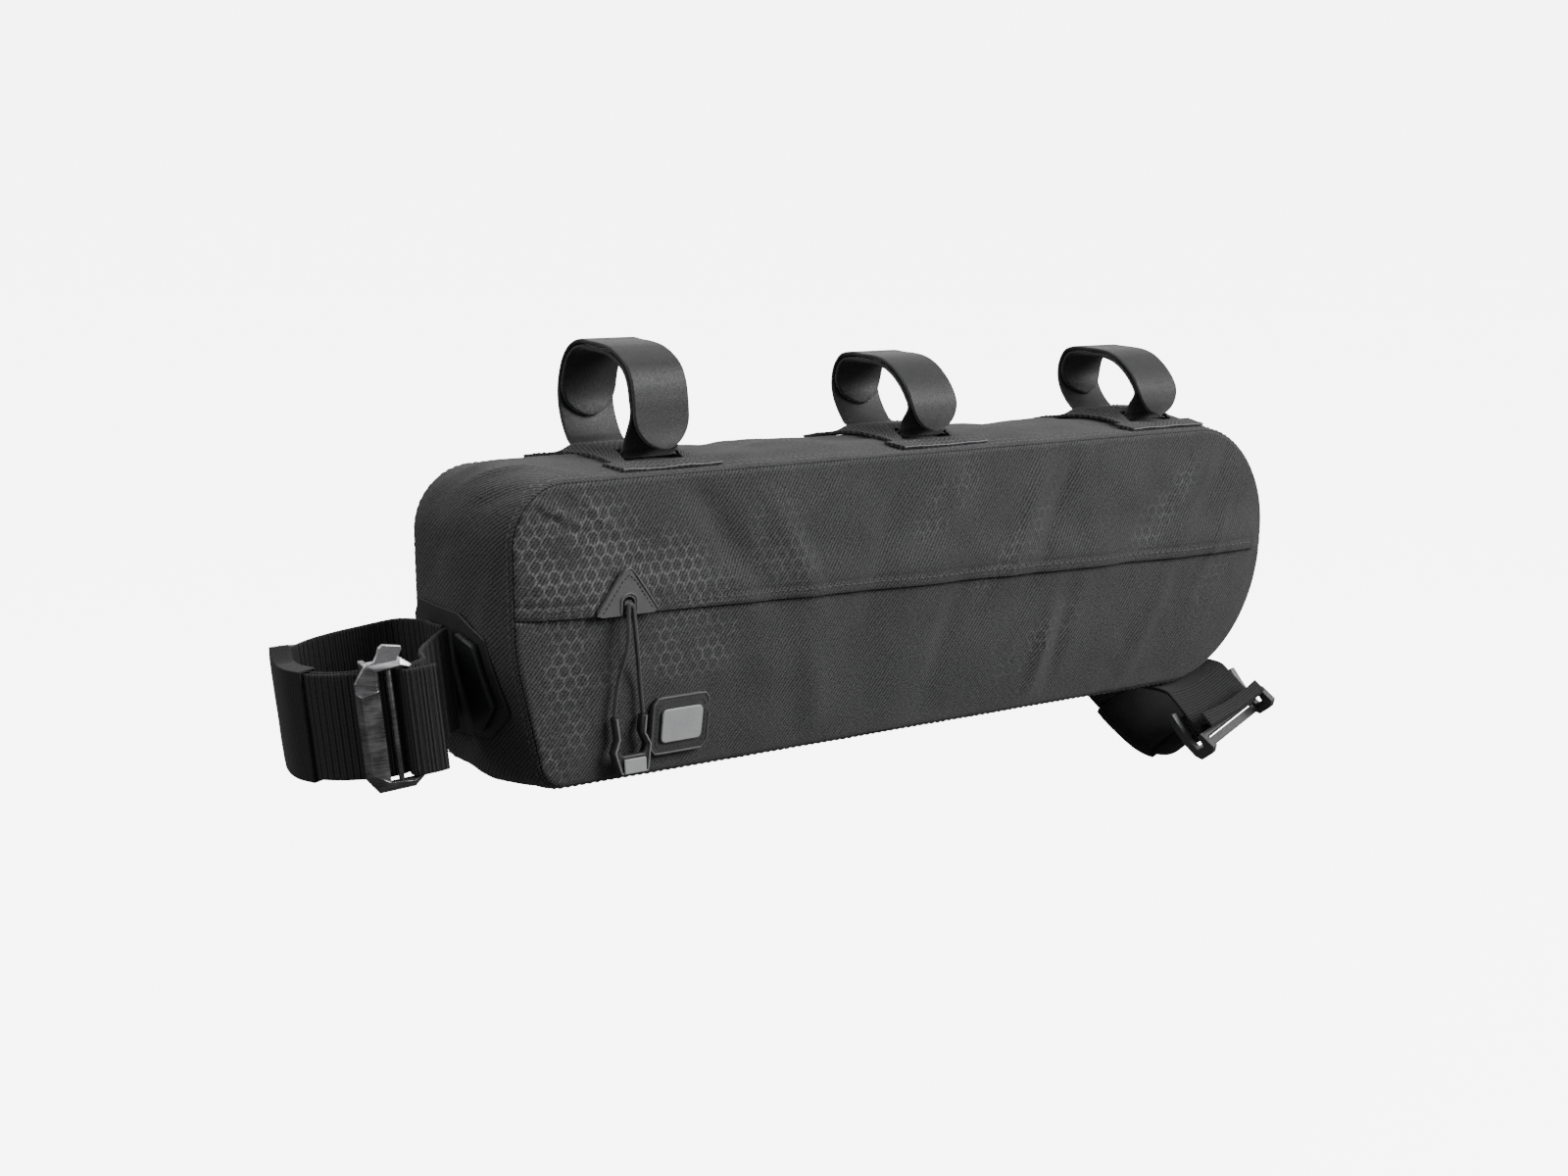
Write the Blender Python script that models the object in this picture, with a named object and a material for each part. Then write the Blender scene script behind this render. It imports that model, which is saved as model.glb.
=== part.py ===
"""A bicycle frame bag: a slim zipped bag that hangs from the top tube by three hook-and-loop straps, with
one webbing strap and buckle round the seat tube at its tail and another round the down tube at its nose.

Lengths are in metres. X runs along the bag from the tail to the nose, Z is up, and the zip side faces -Y.
The shapes are worked out from the bag's own corner: X = 0 at the tail, Y = 0 half way across and Z = 0 at
the bottom seam. The empty that carries every piece moves that corner, so that the origin lies in the middle
top strap, where the top tube runs through.
"""

import math

import bmesh
import bpy
from mathutils import Vector

# The bag
BAG_LENGTH = 0.405
BAG_HEIGHT = 0.1073
BAG_WIDTH = 0.062
FABRIC_WALL = 0.0016
CLEARANCE = 0.0003
WELD = 0.000001
PLATE_STEP = 0.008
GUSSET_STEP = 0.016
SHARP_ANGLE = math.radians(35)

# How far each side of the bag swells beyond its seams
TOP_CROWN = 0.0038
BASE_CROWN = 0.003
TAIL_CROWN = 0.003
NOSE_CROWN = 0.005
SIDE_PILLOW = 0.0038
PILLOW_REACH = 0.040

# Corner radii of the seam round the side panels, as shares of the bag's height
TAIL_FOOT_RADIUS = 0.0932 * BAG_HEIGHT
NOSE_FOOT_RADIUS = 0.5592 * BAG_HEIGHT
NOSE_TOP_RADIUS = 0.4194 * BAG_HEIGHT
TAIL_TOP_RADIUS = 0.2050 * BAG_HEIGHT
TAIL_WAIST_RADIUS = 0.7456 * BAG_HEIGHT

# The seam's corners: share of the bag's length, share of its height, radius, steps in the arc
TAIL_FOOT, NOSE_FOOT, NOSE_TOP, TAIL_TOP, TAIL_WAIST = range(5)
SEAM_CORNERS = (
    (0.0321, -0.004, TAIL_FOOT_RADIUS, 4),
    (1.0, -0.021, NOSE_FOOT_RADIUS, 8),
    (1.0, 1.0, NOSE_TOP_RADIUS, 7),
    (-0.0049, 1.0095, TAIL_TOP_RADIUS, 6),
    (0.0, 0.447, TAIL_WAIST_RADIUS, 4),
)

# Soft dents and folds of the zip side: share of the length, share of the height, turn from upright in
# degrees, half length and half width as shares of the height, depth as a share of the fold depth
FOLD_DEPTH = 0.0022
SIDE_FOLDS = (
    (0.055, 0.86, -55, 0.30, 0.05, 0.7),
    (0.095, 0.80, -70, 0.26, 0.06, -0.6),
    (0.28, 0.72, 20, 0.35, 0.16, 0.5),
    (0.50, 0.70, 32, 0.42, 0.13, 0.8),
    (0.60, 0.30, 28, 0.36, 0.14, 0.7),
    (0.72, 0.62, 35, 0.40, 0.11, 0.8),
    (0.80, 0.70, 35, 0.34, 0.07, -0.8),
    (0.87, 0.66, 38, 0.36, 0.08, 0.6),
    (0.40, 0.22, 10, 0.30, 0.20, -0.5),
)

# The rows of points of a side panel, as shares of the way up from the flap's edge to the top seam
SIDE_COLUMNS = 36
FLAP_ROWS = (0.0, 0.055, 0.108, 0.22, 0.38, 0.57, 0.78, 1.0)

# The zip runs below a flap: share of the length, share of the height of the flap's edge
ZIP_LINE = ((-0.01, 0.5664), (0.10, 0.5585), (0.42, 0.5305), (0.70, 0.513), (1.01, 0.4945))
FLAP_LAP = 0.0045
FLAP_RUN = 0.011
FLAP_LIFT = FABRIC_WALL + 2 * CLEARANCE
ZIP_TAPE_WIDTH = 0.022
ZIP_TAPE_WALL = 0.001
ZIP_TAPE_END = 0.004

# The zip's garage, slider, cord and pull
GARAGE_WIDTH = 0.029
GARAGE_HEIGHT = 0.0165
GARAGE_TOP_RADIUS = 0.004
GARAGE_FOOT_RADIUS = 0.0015
GARAGE_SIDE_RADIUS = 0.006
GARAGE_LIP_RADIUS = 0.0004
GARAGE_SIDE = (0.30, 0.80)
GARAGE_PEAK = 1.06
GARAGE_WALL = 0.0014
GARAGE_CENTRE = 0.0428
GARAGE_SLOT_WIDTH = 0.0052
GARAGE_SLOT_HEIGHT = 0.0065
GARAGE_SLOT_ROUND = 0.9
SLIDER_SIZE = (0.0034, 0.0011, 0.0050)
SLIDER_RADIUS = 0.001
CORD_DIAMETER = 0.0017
CORD_STEP = 0.0042
CORD_EYE_RISE = 0.0022
CORD_BEND = 0.012
CORD_SLACK = 0.0006
CORD_STAND = 0.0012
PULL_TOP = 0.0235
PULL_FOOT = 0.0022
PULL_WIDTH = 0.0172
PULL_THICKNESS = 0.0032
PULL_CENTRE = 0.0452
PULL_STAND_OFF = 0.0012
PULL_TIP_WALL = 0.0008
PULL_TIP_RADIUS = 0.0004

# The forked pull and its pale tip: share of half the pull's width, share of its height
PULL_CORNERS = (
    (-0.620, 0.0),
    (0.860, 0.0),
    (1.000, 0.500),
    (0.700, 0.700),
    (0.780, 1.0),
    (0.501, 1.0),
    (0.421, 0.720),
    (0.721, 0.475),
    (0.591, 0.3474),
    (-0.447, 0.3474),
    (-0.721, 0.425),
    (-0.521, 0.640),
    (-0.681, 1.0),
    (-0.960, 1.0),
    (-0.800, 0.620),
    (-1.000, 0.400),
)
PULL_TIP_CORNERS = ((-0.46, 0.0376), (0.66, 0.0376), (0.62, 0.2911), (-0.50, 0.2911))
PULL_ARMS = (-0.8205, 0.6405)

# The cord, from one arm of the pull up to the slider's eye and down to the other arm: distances along the
# bag from the strand's own middle, in cord diameters, at the bends below the eye and at the eye
CORD_LEFT_SPREAD = (1.178, 0.62)
CORD_RIGHT_SPREAD = (0.62, 0.992)
CORD_LEFT_LEAN = 0.59
CORD_RIGHT_LEAN = 1.18
CORD_LOOP_RISE = 0.8

# The plain badge
BADGE_WIDTH = 0.027
BADGE_HEIGHT = 0.022
BADGE_WALL = 0.0018
BADGE_RADIUS = 0.005
BADGE_CENTRE = (0.0690, 0.0172)
BADGE_PLATE_WIDTH = 0.0185
BADGE_PLATE_HEIGHT = 0.0125
BADGE_PLATE_WALL = 0.0010
BADGE_PLATE_RADIUS = 0.002

# The top straps and their patches
TOP_STRAP_WIDTH = 0.025
TOP_STRAP_WALL = 0.0016
TOP_STRAP_LAYER = TOP_STRAP_WALL + 0.0005
TOP_STRAP_TIP = 0.0125
TOP_STRAP_STEP = 0.0055
TOP_STRAP_ROUTE_STEP = 0.001
TOP_LOOP_WIDTH = 0.0475
TAIL_LOOP_HEIGHT = 0.0415
MIDDLE_LOOP_HEIGHT = 0.0320
NOSE_LOOP_HEIGHT = 0.0300
TAIL_LOOP_PLACE = 0.1716 * BAG_LENGTH
MIDDLE_LOOP_PLACE = 0.5099 * BAG_LENGTH
NOSE_LOOP_PLACE = 0.8407 * BAG_LENGTH

# The outer turn of a top strap, from its far slot over the top to its near tip: share of half the loop's
# width and share of its height, first for the tall tail loop and then for the low ones
TOP_LOOP_ROUTE = (
    (0.66, 0.06, 0.64, 0.06),
    (0.84, 0.22, 0.80, 0.21),
    (0.95, 0.40, 0.95, 0.37),
    (0.97, 0.57, 1.03, 0.57),
    (0.91, 0.74, 1.00, 0.77),
    (0.76, 0.90, 0.87, 0.93),
    (0.48, 0.985, 0.62, 0.985),
    (0.12, 0.975, 0.28, 0.975),
    (-0.24, 0.955, -0.04, 0.965),
    (-0.57, 0.875, -0.34, 0.90),
    (-0.79, 0.76, -0.60, 0.765),
    (-0.89, 0.60, -0.80, 0.60),
    (-0.93, 0.43, -0.92, 0.42),
    (-0.96, 0.27, -0.95, 0.27),
    (-1.02, 0.10, -0.97, 0.10),
)
INNER_TURN_START = 0.27
INNER_TURN_END = 0.24

# How the strap comes up through a slot: distance back from the slot's middle before it rises, its lift
# there, and its lifts and lean on the way up
SLOT_APPROACH = 0.0035
SLOT_LIFT = 0.0004
SLOT_LOW_RISE = 0.0034
SLOT_HIGH_RISE = 0.0070
SLOT_LEAN = 0.0012
OUTER_LEAN = 0.0002

PATCH_LENGTH = 0.050
PATCH_WIDTH = 0.054
PATCH_WALL = 0.0012
PATCH_SLOT_NEAR = 0.0120
PATCH_SLOT_FAR = 0.0190
PATCH_WAIST = 0.0385
PATCH_SPARE = 0.0006
PATCH_LIFT = TOP_STRAP_WALL + 2 * CLEARANCE + PATCH_SPARE
PATCH_EDGE_LIFT = 0.6
PATCH_HEM = 0.84
PATCH_RIDGE = 0.2
PATCH_NOTCH = 0.94

# The webbing straps
WEBBING_WIDTH = 0.037
WEBBING_WALL = 0.0018
WEBBING_LAYER = WEBBING_WALL + 0.0005
WEBBING_STEP = 0.0045
KEEPER_WALL = 0.001
KEEPER_EAR = 0.008
KEEPER_ROWS = (5, 10)

# A rounded strap end: shares of its length with a row of points, and the square of its blunt end's share
# of width
TIP_ROWS = (0.0, 0.06, 0.2, 0.42, 0.7, 1.0)
TIP_BLUNTNESS = 0.06

# The patch on the tail that the tail strap is sewn to, from its near edge round: share of half the bag's
# width, share of its height
TAIL_PATCH_RADIUS = 0.0015
TAIL_PATCH_WALL = 0.0012
TAIL_PATCH_CORNERS = (
    (-0.74, 0.243),
    (-0.32, 0.147),
    (0.62, 0.128),
    (0.90, 0.200),
    (0.90, 0.520),
    (0.78, 0.578),
    (-0.09, 0.563),
    (-0.56, 0.493),
)
TAIL_POCKET_WALL = 0.0026
TAIL_POCKET_CORNERS = (
    (-0.60, 0.262),
    (-0.28, 0.165),
    (-0.15, 0.165),
    (-0.12, 0.508),
    (-0.46, 0.470),
)

# The tail strap stands out from the tail's face, tilted like it. Its routes are seen from above: distance
# out from the face and distance across, as shares of the reach of the loop and of half the bag's width
TAIL_TILT = math.radians(8)
TAIL_STRAP_HEIGHT = 0.037
TAIL_LOOP_REACH = 0.0615
TAIL_STRAP_ROUTE = (
    (0.085, 0.88),
    (0.17, 0.96),
    (0.31, 1.01),
    (0.47, 1.06),
    (0.64, 1.05),
    (0.78, 0.94),
    (0.89, 0.72),
    (0.965, 0.43),
    (1.00, 0.12),
    (0.985, -0.15),
    (0.925, -0.38),
    (0.84, -0.55),
)
TAIL_ANCHOR_ROUTE = (
    (0.095, -0.01),
    (0.18, -0.13),
    (0.29, -0.30),
    (0.38, -0.46),
    (0.435, -0.63),
    (0.475, -0.79),
)
TAIL_SEWN_PLACES = (0.0042, 0.011, 0.0185)
TAIL_ANCHOR_START = (0.0008, 0.0005)
TAIL_FOLD_ENDS = (0.005, 0.0088)
TAIL_FOLD_LIFT = 0.0006
TAIL_FREE_END = 0.010
TAIL_LAYER_SPARE = 0.0002
TAIL_WRAP_SPARE = 0.0007
TAIL_BUCKLE_PLACE = (0.732, -0.887)
TAIL_BUCKLE_TURN = math.radians(16)

# The nose strap stands down from the curved foot of the nose. Its routes are seen along the down tube:
# distance across and distance down, as shares of half the bag's width and of the drop of the loop
NOSE_TILT = math.radians(21.7)
NOSE_SEAT_SHIFT = 0.1317 * NOSE_FOOT_RADIUS
NOSE_LOOP_DROP = 0.0318
NOSE_STRAP_ROUTE = (
    (0.72, 0.17),
    (0.60, 0.28),
    (0.46, 0.40),
    (0.28, 0.54),
    (0.08, 0.73),
    (-0.12, 0.89),
    (-0.36, 1.00),
    (-0.60, 1.02),
    (-0.84, 0.965),
    (-1.05, 0.83),
    (-1.22, 0.68),
)
NOSE_ANCHOR_ROUTE = ((-1.02, 0.12), (-1.17, 0.215))
NOSE_SEWN_EDGES = (0.60, 0.25, -0.30, -0.62)
NOSE_SETTLE = 0.016
SLEEVE_SHARES = (0.30, 0.62)

# The nose buckle is seen along its bars: distance along the anchor strap and out from it, in shares of its
# length, both from the bar that the anchor strap is folded round
NOSE_BUCKLE_LENGTH = 0.025
NOSE_BUCKLE_PLACE = (-1.632, 0.487)
NOSE_BUCKLE_TURN = math.radians(43.8)
NOSE_BUCKLE_ARM_WIDTH = 0.0026
NOSE_ARM = (
    (-0.68, -0.24),
    (-0.50, -0.37),
    (-0.16, -0.47),
    (0.12, -0.48),
    (0.256, -0.41),
    (0.32, -0.10),
    (0.27, 0.06),
    (-0.05, 0.05),
    (-0.056, -0.064),
    (0.136, -0.13),
    (0.096, -0.30),
    (-0.12, -0.32),
    (-0.42, -0.225),
    (-0.64, -0.145),
)
NOSE_WIDE_BAR = ((-0.56, -0.32), (-0.20, -0.424), (-0.176, -0.344), (-0.536, -0.24))
NOSE_THIN_BAR = ((0.04, -0.456), (0.18, -0.456), (0.18, -0.344), (0.04, -0.344))
NOSE_BAR_HALF = 0.044
NOSE_END_BAR = (
    (-NOSE_BAR_HALF, -NOSE_BAR_HALF),
    (NOSE_BAR_HALF, -NOSE_BAR_HALF),
    (NOSE_BAR_HALF, NOSE_BAR_HALF),
    (-NOSE_BAR_HALF, NOSE_BAR_HALF),
)
NOSE_STRAP_END = ((-0.20, -0.53), (-0.068, -0.42), (-0.068, -0.33), (-0.16, -0.252), (-0.38, -0.222))
NOSE_FOLD_END = 0.0055
NOSE_FOLD_START = 0.006
NOSE_WRAP_SPARE = 0.0002
ARM_SPARE = 0.0004

# The buckles: a ladder frame with two slots
BUCKLE_LENGTH = 0.045
BUCKLE_SLOT = WEBBING_WIDTH + 2 * CLEARANCE + 2 * ARM_SPARE
BUCKLE_WALL = 0.0024
BUCKLE_WIDE_BAR = 0.0078
BUCKLE_THIN_BAR = 0.0020
BUCKLE_END_BAR = 0.0022
BUCKLE_WIDE_SLOT = 0.0030
BUCKLE_FOLD_SLOT = 0.0050
BUCKLE_FACET = 0.0022
BUCKLE_HOOK = 0.0075
BUCKLE_CORNER = 0.86
REAR_BAR_DEPTH = 0.0062
REAR_BAR_WALL = 0.0016
REAR_BAR_WIDTH = 0.0020
REAR_BAR_SET_BACK = 0.0042
REAR_BAR_BITE = 0.0006

# The buckle's hook, from its slots' edges and its end: distance beyond the wide slot or the thin bar,
# share of the hook's height beyond the buckle's end
HOOK_FOOT = 0.002
HOOK_BACK = 0.003
HOOK_SHOULDER = 0.004
HOOK_TIP = 0.001
HOOK_HALF_WALL = 0.0008
HOOK_LIFT = 0.0001

# Half sizes that more than one piece uses
HALF_BAG = BAG_WIDTH / 2
HALF_WEBBING = WEBBING_WIDTH / 2
GUSSET_EDGE = HALF_BAG - FABRIC_WALL - CLEARANCE


def rounded(corners):
    """The arcs of a closed outline, one list of points for each corner (first, second, radius, steps)."""
    arcs = []
    for index, (first, second, radius, steps) in enumerate(corners):
        corner = Vector((first, second))
        before = Vector(corners[index - 1][:2]) - corner
        after = Vector(corners[(index + 1) % len(corners)][:2]) - corner
        before.normalize()
        after.normalize()
        half = math.acos(max(-1.0, min(1.0, before.dot(after)))) / 2
        centre = corner + (before + after).normalized() * radius / math.sin(half)
        start = corner + before * radius / math.tan(half) - centre
        end = corner + after * radius / math.tan(half) - centre
        turn = start.angle_signed(end)
        arc = []
        for step in range(steps + 1):
            angle = -turn * step / steps
            cosine = math.cos(angle)
            sine = math.sin(angle)
            turned = Vector((cosine * start.x - sine * start.y, sine * start.x + cosine * start.y))
            arc.append(centre + turned)
        arcs.append(arc)
    return arcs


def lengths(line):
    """The distance along a line at each of its points."""
    total = [0.0]
    for first, second in zip(line, line[1:]):
        total.append(total[-1] + (second - first).length)
    return total


def point_at(line, share):
    """The point at a share of a line's length."""
    total = lengths(line)
    wanted = share * total[-1]
    for index in range(1, len(line)):
        if total[index] >= wanted or index == len(line) - 1:
            span = total[index] - total[index - 1]
            return line[index - 1].lerp(line[index], (wanted - total[index - 1]) / span)


def share_at_height(line, height):
    """The share of a rising line's length at which it reaches a height."""
    total = lengths(line)
    for index in range(1, len(line)):
        low, high = line[index - 1].y, line[index].y
        if high >= height:
            part = (height - low) / (high - low)
            return (total[index - 1] + (total[index] - total[index - 1]) * part) / total[-1]
    return 1.0


def smooth_route(points, step, turn=math.radians(22)):
    """A curve through the points, with a point at every step and wherever it has turned this far."""
    ends = [points[0] * 2 - points[1]] + list(points) + [points[-1] * 2 - points[-2]]
    dense = []
    for index in range(1, len(ends) - 2):
        before, start, end, after = ends[index - 1 : index + 3]
        for part in range(12):
            t = part / 12
            dense.append(
                0.5
                * (
                    2 * start
                    + (end - before) * t
                    + (2 * before - 5 * start + 4 * end - after) * t**2
                    + (3 * start - before - 3 * end + after) * t**3
                )
            )
    dense.append(points[-1])
    route = [dense[0]]
    heading = dense[1] - dense[0]
    for index in range(1, len(dense) - 1):
        ahead = dense[index + 1] - dense[index]
        if heading.angle(ahead, 0.0) > turn or (dense[index] - route[-1]).length > step:
            route.append(dense[index])
            heading = ahead
    return route + [dense[-1]]


def beside(line, distance):
    """The line moved sideways, to its left where the distance is positive."""
    moved = []
    for index, point in enumerate(line):
        along = line[min(index + 1, len(line) - 1)] - line[max(index - 1, 0)]
        moved.append(point + Vector((-along.y, along.x)).normalized() * distance)
    return moved


def turn_round(centre, radius, start, sweep, steps):
    """The points of an arc, by its start angle and its sweep."""
    angles = (start + sweep * step / steps for step in range(steps + 1))
    return [centre + Vector((math.cos(angle), math.sin(angle))) * radius for angle in angles]


# The seam's arcs in metres, and the lines between the middles of its corners
SEAM_ARCS = rounded(
    [(along * BAG_LENGTH, up * BAG_HEIGHT, radius, steps) for along, up, radius, steps in SEAM_CORNERS]
)


def seam_between(first, last):
    """The seam from the middle of one corner's arc round to the middle of another's."""
    line = SEAM_ARCS[first][len(SEAM_ARCS[first]) // 2 :]
    corner = (first + 1) % len(SEAM_ARCS)
    while corner != last:
        line = line + SEAM_ARCS[corner]
        corner = (corner + 1) % len(SEAM_ARCS)
    return line + SEAM_ARCS[last][: len(SEAM_ARCS[last]) // 2 + 1]


BASE_SEAM = seam_between(TAIL_FOOT, NOSE_FOOT)
NOSE_SEAM = seam_between(NOSE_FOOT, NOSE_TOP)
TOP_SEAM = seam_between(NOSE_TOP, TAIL_TOP)[::-1]
TAIL_SEAM = seam_between(TAIL_TOP, TAIL_FOOT)[::-1]
WHOLE_SEAM = [point for arc in SEAM_ARCS for point in arc]


def crown_at(normal):
    """How far the gusset swells half way across, by the way it faces."""
    up, along = normal.y, normal.x
    upright = TOP_CROWN if up > 0 else BASE_CROWN
    level = NOSE_CROWN if along > 0 else TAIL_CROWN
    return upright * up**2 + level * along**2


def bow(across):
    """1 half way across the bag, and 0 at its seams."""
    return 1 - (across / HALF_BAG) ** 2


def top_height(along, across):
    """The height of the bag's top."""
    low, high = SEAM_ARCS[NOSE_TOP][-1], SEAM_ARCS[TAIL_TOP][0]
    share = (along - high.x) / (low.x - high.x)
    return high.y + (low.y - high.y) * share + TOP_CROWN * bow(across)


def tail_place(height, across):
    """How far along the bag its tail face lies."""
    seam = point_at(TAIL_SEAM, share_at_height(TAIL_SEAM, height))
    return seam.x - TAIL_CROWN * bow(across)


def table_value(rows, share):
    """The value between the rows of a two-column table."""
    for (low, first), (high, second) in zip(rows, rows[1:]):
        if share <= high:
            return first + (second - first) * (share - low) / (high - low)
    return rows[-1][1]


def flap_edge(along):
    """The height of the zip flap's edge."""
    return BAG_HEIGHT * table_value(ZIP_LINE, along / BAG_LENGTH)


def seam_distance(along, up):
    """How far a point of a side panel lies from the seam."""
    point = Vector((along, up))
    nearest = BAG_LENGTH
    for first, second in zip(WHOLE_SEAM, WHOLE_SEAM[1:] + WHOLE_SEAM[:1]):
        edge = second - first
        share = max(0.0, min(1.0, (point - first).dot(edge) / edge.length_squared))
        nearest = min(nearest, (point - first - edge * share).length)
    return nearest


def pillow(along, up):
    """How far a side panel swells."""
    return SIDE_PILLOW * math.sin(math.pi / 2 * min(1.0, seam_distance(along, up) / PILLOW_REACH))


def folds(along, up):
    """The height of the zip side's soft folds, fading out at the seam."""
    height = 0.0
    for row_along, row_up, turn, half_length, half_width, depth in SIDE_FOLDS:
        angle = math.radians(turn)
        right = along - row_along * BAG_LENGTH
        rise = up - row_up * BAG_HEIGHT
        lengthwise = (right * math.sin(angle) + rise * math.cos(angle)) / (half_length * BAG_HEIGHT)
        sideways = (right * math.cos(angle) - rise * math.sin(angle)) / (half_width * BAG_HEIGHT)
        height += depth * math.exp(-(lengthwise**2) - sideways**2)
    return FOLD_DEPTH * height * min(1.0, seam_distance(along, up) / PILLOW_REACH)


def side_place(along, up, out=0.0):
    """A point on the zip side's outer face, or further out."""
    return Vector((along, -HALF_BAG - pillow(along, up) - folds(along, up) - out, up))


def coons(low, high, left, right):
    """A surface between four lines of points, each a function of a share."""

    def inside(u, v):
        lower_corners = (low(0.0) * (1 - u) + low(1.0) * u) * (1 - v)
        upper_corners = (high(0.0) * (1 - u) + high(1.0) * u) * v
        corners = lower_corners + upper_corners
        return low(u) * (1 - v) + high(u) * v + left(v) * (1 - u) + right(v) * u - corners

    return inside


def seam_part(line, low, high):
    """A function of a share that runs between two heights of a rising line."""
    start = share_at_height(line, low)
    end = share_at_height(line, high)
    return lambda share: point_at(line, start + (end - start) * share)


def finish(name, colour, roughness, metallic=0.0):
    material = bpy.data.materials.new(name)
    material.use_nodes = True
    shader = material.node_tree.nodes["Principled BSDF"]
    shader.inputs["Base Color"].default_value = (*colour, 1.0)
    shader.inputs["Roughness"].default_value = roughness
    shader.inputs["Metallic"].default_value = metallic
    material.diffuse_color = (*colour, 1.0)
    material.roughness = roughness
    material.metallic = metallic
    return material


def piece(name, shape, material, parent):
    """An object made from a bmesh, on the empty that carries the bag."""
    mesh = bpy.data.meshes.new(name)
    shape.to_mesh(mesh)
    shape.free()
    mesh.materials.append(material)
    mesh.shade_smooth()
    mesh.set_sharp_from_angle(angle=SHARP_ANGLE)
    made = bpy.data.objects.new(name, mesh)
    made.parent = parent
    bpy.context.scene.collection.objects.link(made)
    return made


def walled(made, wall, side=-1.0):
    """Gives an open sheet its wall: behind its face at -1, half each way at 0."""
    solid = made.modifiers.new("Wall", "SOLIDIFY")
    solid.thickness = wall
    solid.offset = side
    solid.use_even_offset = side < 0
    return made


def sheet(name, columns, rows, place, material, parent):
    """A grid whose points are put where place(u, v) says, with meeting edges welded."""
    shape = bmesh.new()
    bmesh.ops.create_grid(shape, x_segments=columns, y_segments=rows, size=0.5)
    for point in shape.verts:
        point.co = place(point.co.x + 0.5, point.co.y + 0.5)
    bmesh.ops.remove_doubles(shape, verts=shape.verts, dist=WELD)
    bmesh.ops.dissolve_degenerate(shape, edges=shape.edges, dist=WELD)
    return piece(name, shape, material, parent)


def plate(name, corners, rings, place, material, parent):
    """A plate with this closed outline, in rings round its middle so that it can follow a curved face."""
    outline = []
    for first, second in zip(corners, corners[1:] + corners[:1]):
        parts = math.ceil((second - first).length / PLATE_STEP)
        outline += [first.lerp(second, part / parts) for part in range(parts)]
    middle = sum(outline, Vector((0.0, 0.0))) / len(outline)
    count = len(outline)

    def put(u, v):
        rim = outline[round(u * count) % count]
        return place(middle.lerp(rim, 1 - v))

    return sheet(name, count, rings, put, material, parent)


def closed_outline(corners, radius, steps):
    """A closed outline with the same radius at every corner."""
    arcs = rounded([(first, second, radius, steps) for first, second in corners])
    return [point for arc in arcs for point in arc]


def prism(name, outline, place, low, high, material, parent):
    """An outline pushed from low to high along the third direction of place(first, second, third)."""
    shape = bmesh.new()
    rim = [shape.verts.new((point.x, point.y, 0.0)) for point in outline]
    face = shape.faces.new(rim)
    pushed = bmesh.ops.extrude_face_region(shape, geom=[face])
    tops = {item for item in pushed["geom"] if isinstance(item, bmesh.types.BMVert)}
    for point in shape.verts:
        point.co = place(point.co.x, point.co.y, high if point in tops else low)
    bmesh.ops.recalc_face_normals(shape, faces=shape.faces)
    return piece(name, shape, material, parent)


def strap(name, route, width, wall, place, tips, material, parent, rows=1):
    """A flat strap along a route, with place(first, second, across). tips gives the length over which each
    end rounds off, or 0 for a square end. It needs more rows where it bends across its width."""
    total = lengths(route)[-1]
    stops = [distance / total for distance in lengths(route)]
    for tip, end in zip(tips, (0.0, 1.0)):
        if tip:
            stops = [stop for stop in stops if abs(stop - end) * total > tip]
            stops += [abs(end - share * tip / total) for share in TIP_ROWS]
    stops.sort()

    def half_width(share):
        half = width / 2
        for tip, end in zip(tips, (0.0, 1.0)):
            from_end = abs(share - end) * total
            if tip and from_end < tip:
                half = min(half, width / 2 * math.sqrt(max(TIP_BLUNTNESS, 1 - (1 - from_end / tip) ** 2)))
        return half

    def put(u, v):
        share = stops[round(u * (len(stops) - 1))]
        middle = point_at(route, share)
        return place(middle.x, middle.y, (v * 2 - 1) * half_width(share))

    made = sheet(name, len(stops) - 1, rows, put, material, parent)
    return walled(made, wall, 0.0)


def sleeve(name, route, inner, wall, width, place, ear, material, parent, rows=1):
    """A band sewn round the layers of a strap. ear lifts its upper edge towards the route's start."""
    half = width / 2 + CLEARANCE
    near = beside(route, -inner)
    far = beside(route, inner)

    def put(u, v):
        index = round(u * (len(route) - 1))
        side = round(v * 2 * (rows + 1)) % (2 * (rows + 1))
        line = far if side <= rows else near
        share = side / rows if side <= rows else 2 + (1 - side) / rows
        height = half * (2 * share - 1) + ear * share**4 * (1 - index / (len(route) - 1)) ** 2
        return place(line[index].x, line[index].y, height)

    made = sheet(name, len(route) - 1, 2 * (rows + 1), put, material, parent)
    return walled(made, wall, 1.0)


def joined(made, *others):
    """Joins helpers to a piece and hides them."""
    for other in others:
        union = made.modifiers.new("Join", "BOOLEAN")
        union.operation = "UNION"
        union.object = other
        other.hide_render = True
        other.display_type = "WIRE"
    return made


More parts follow.
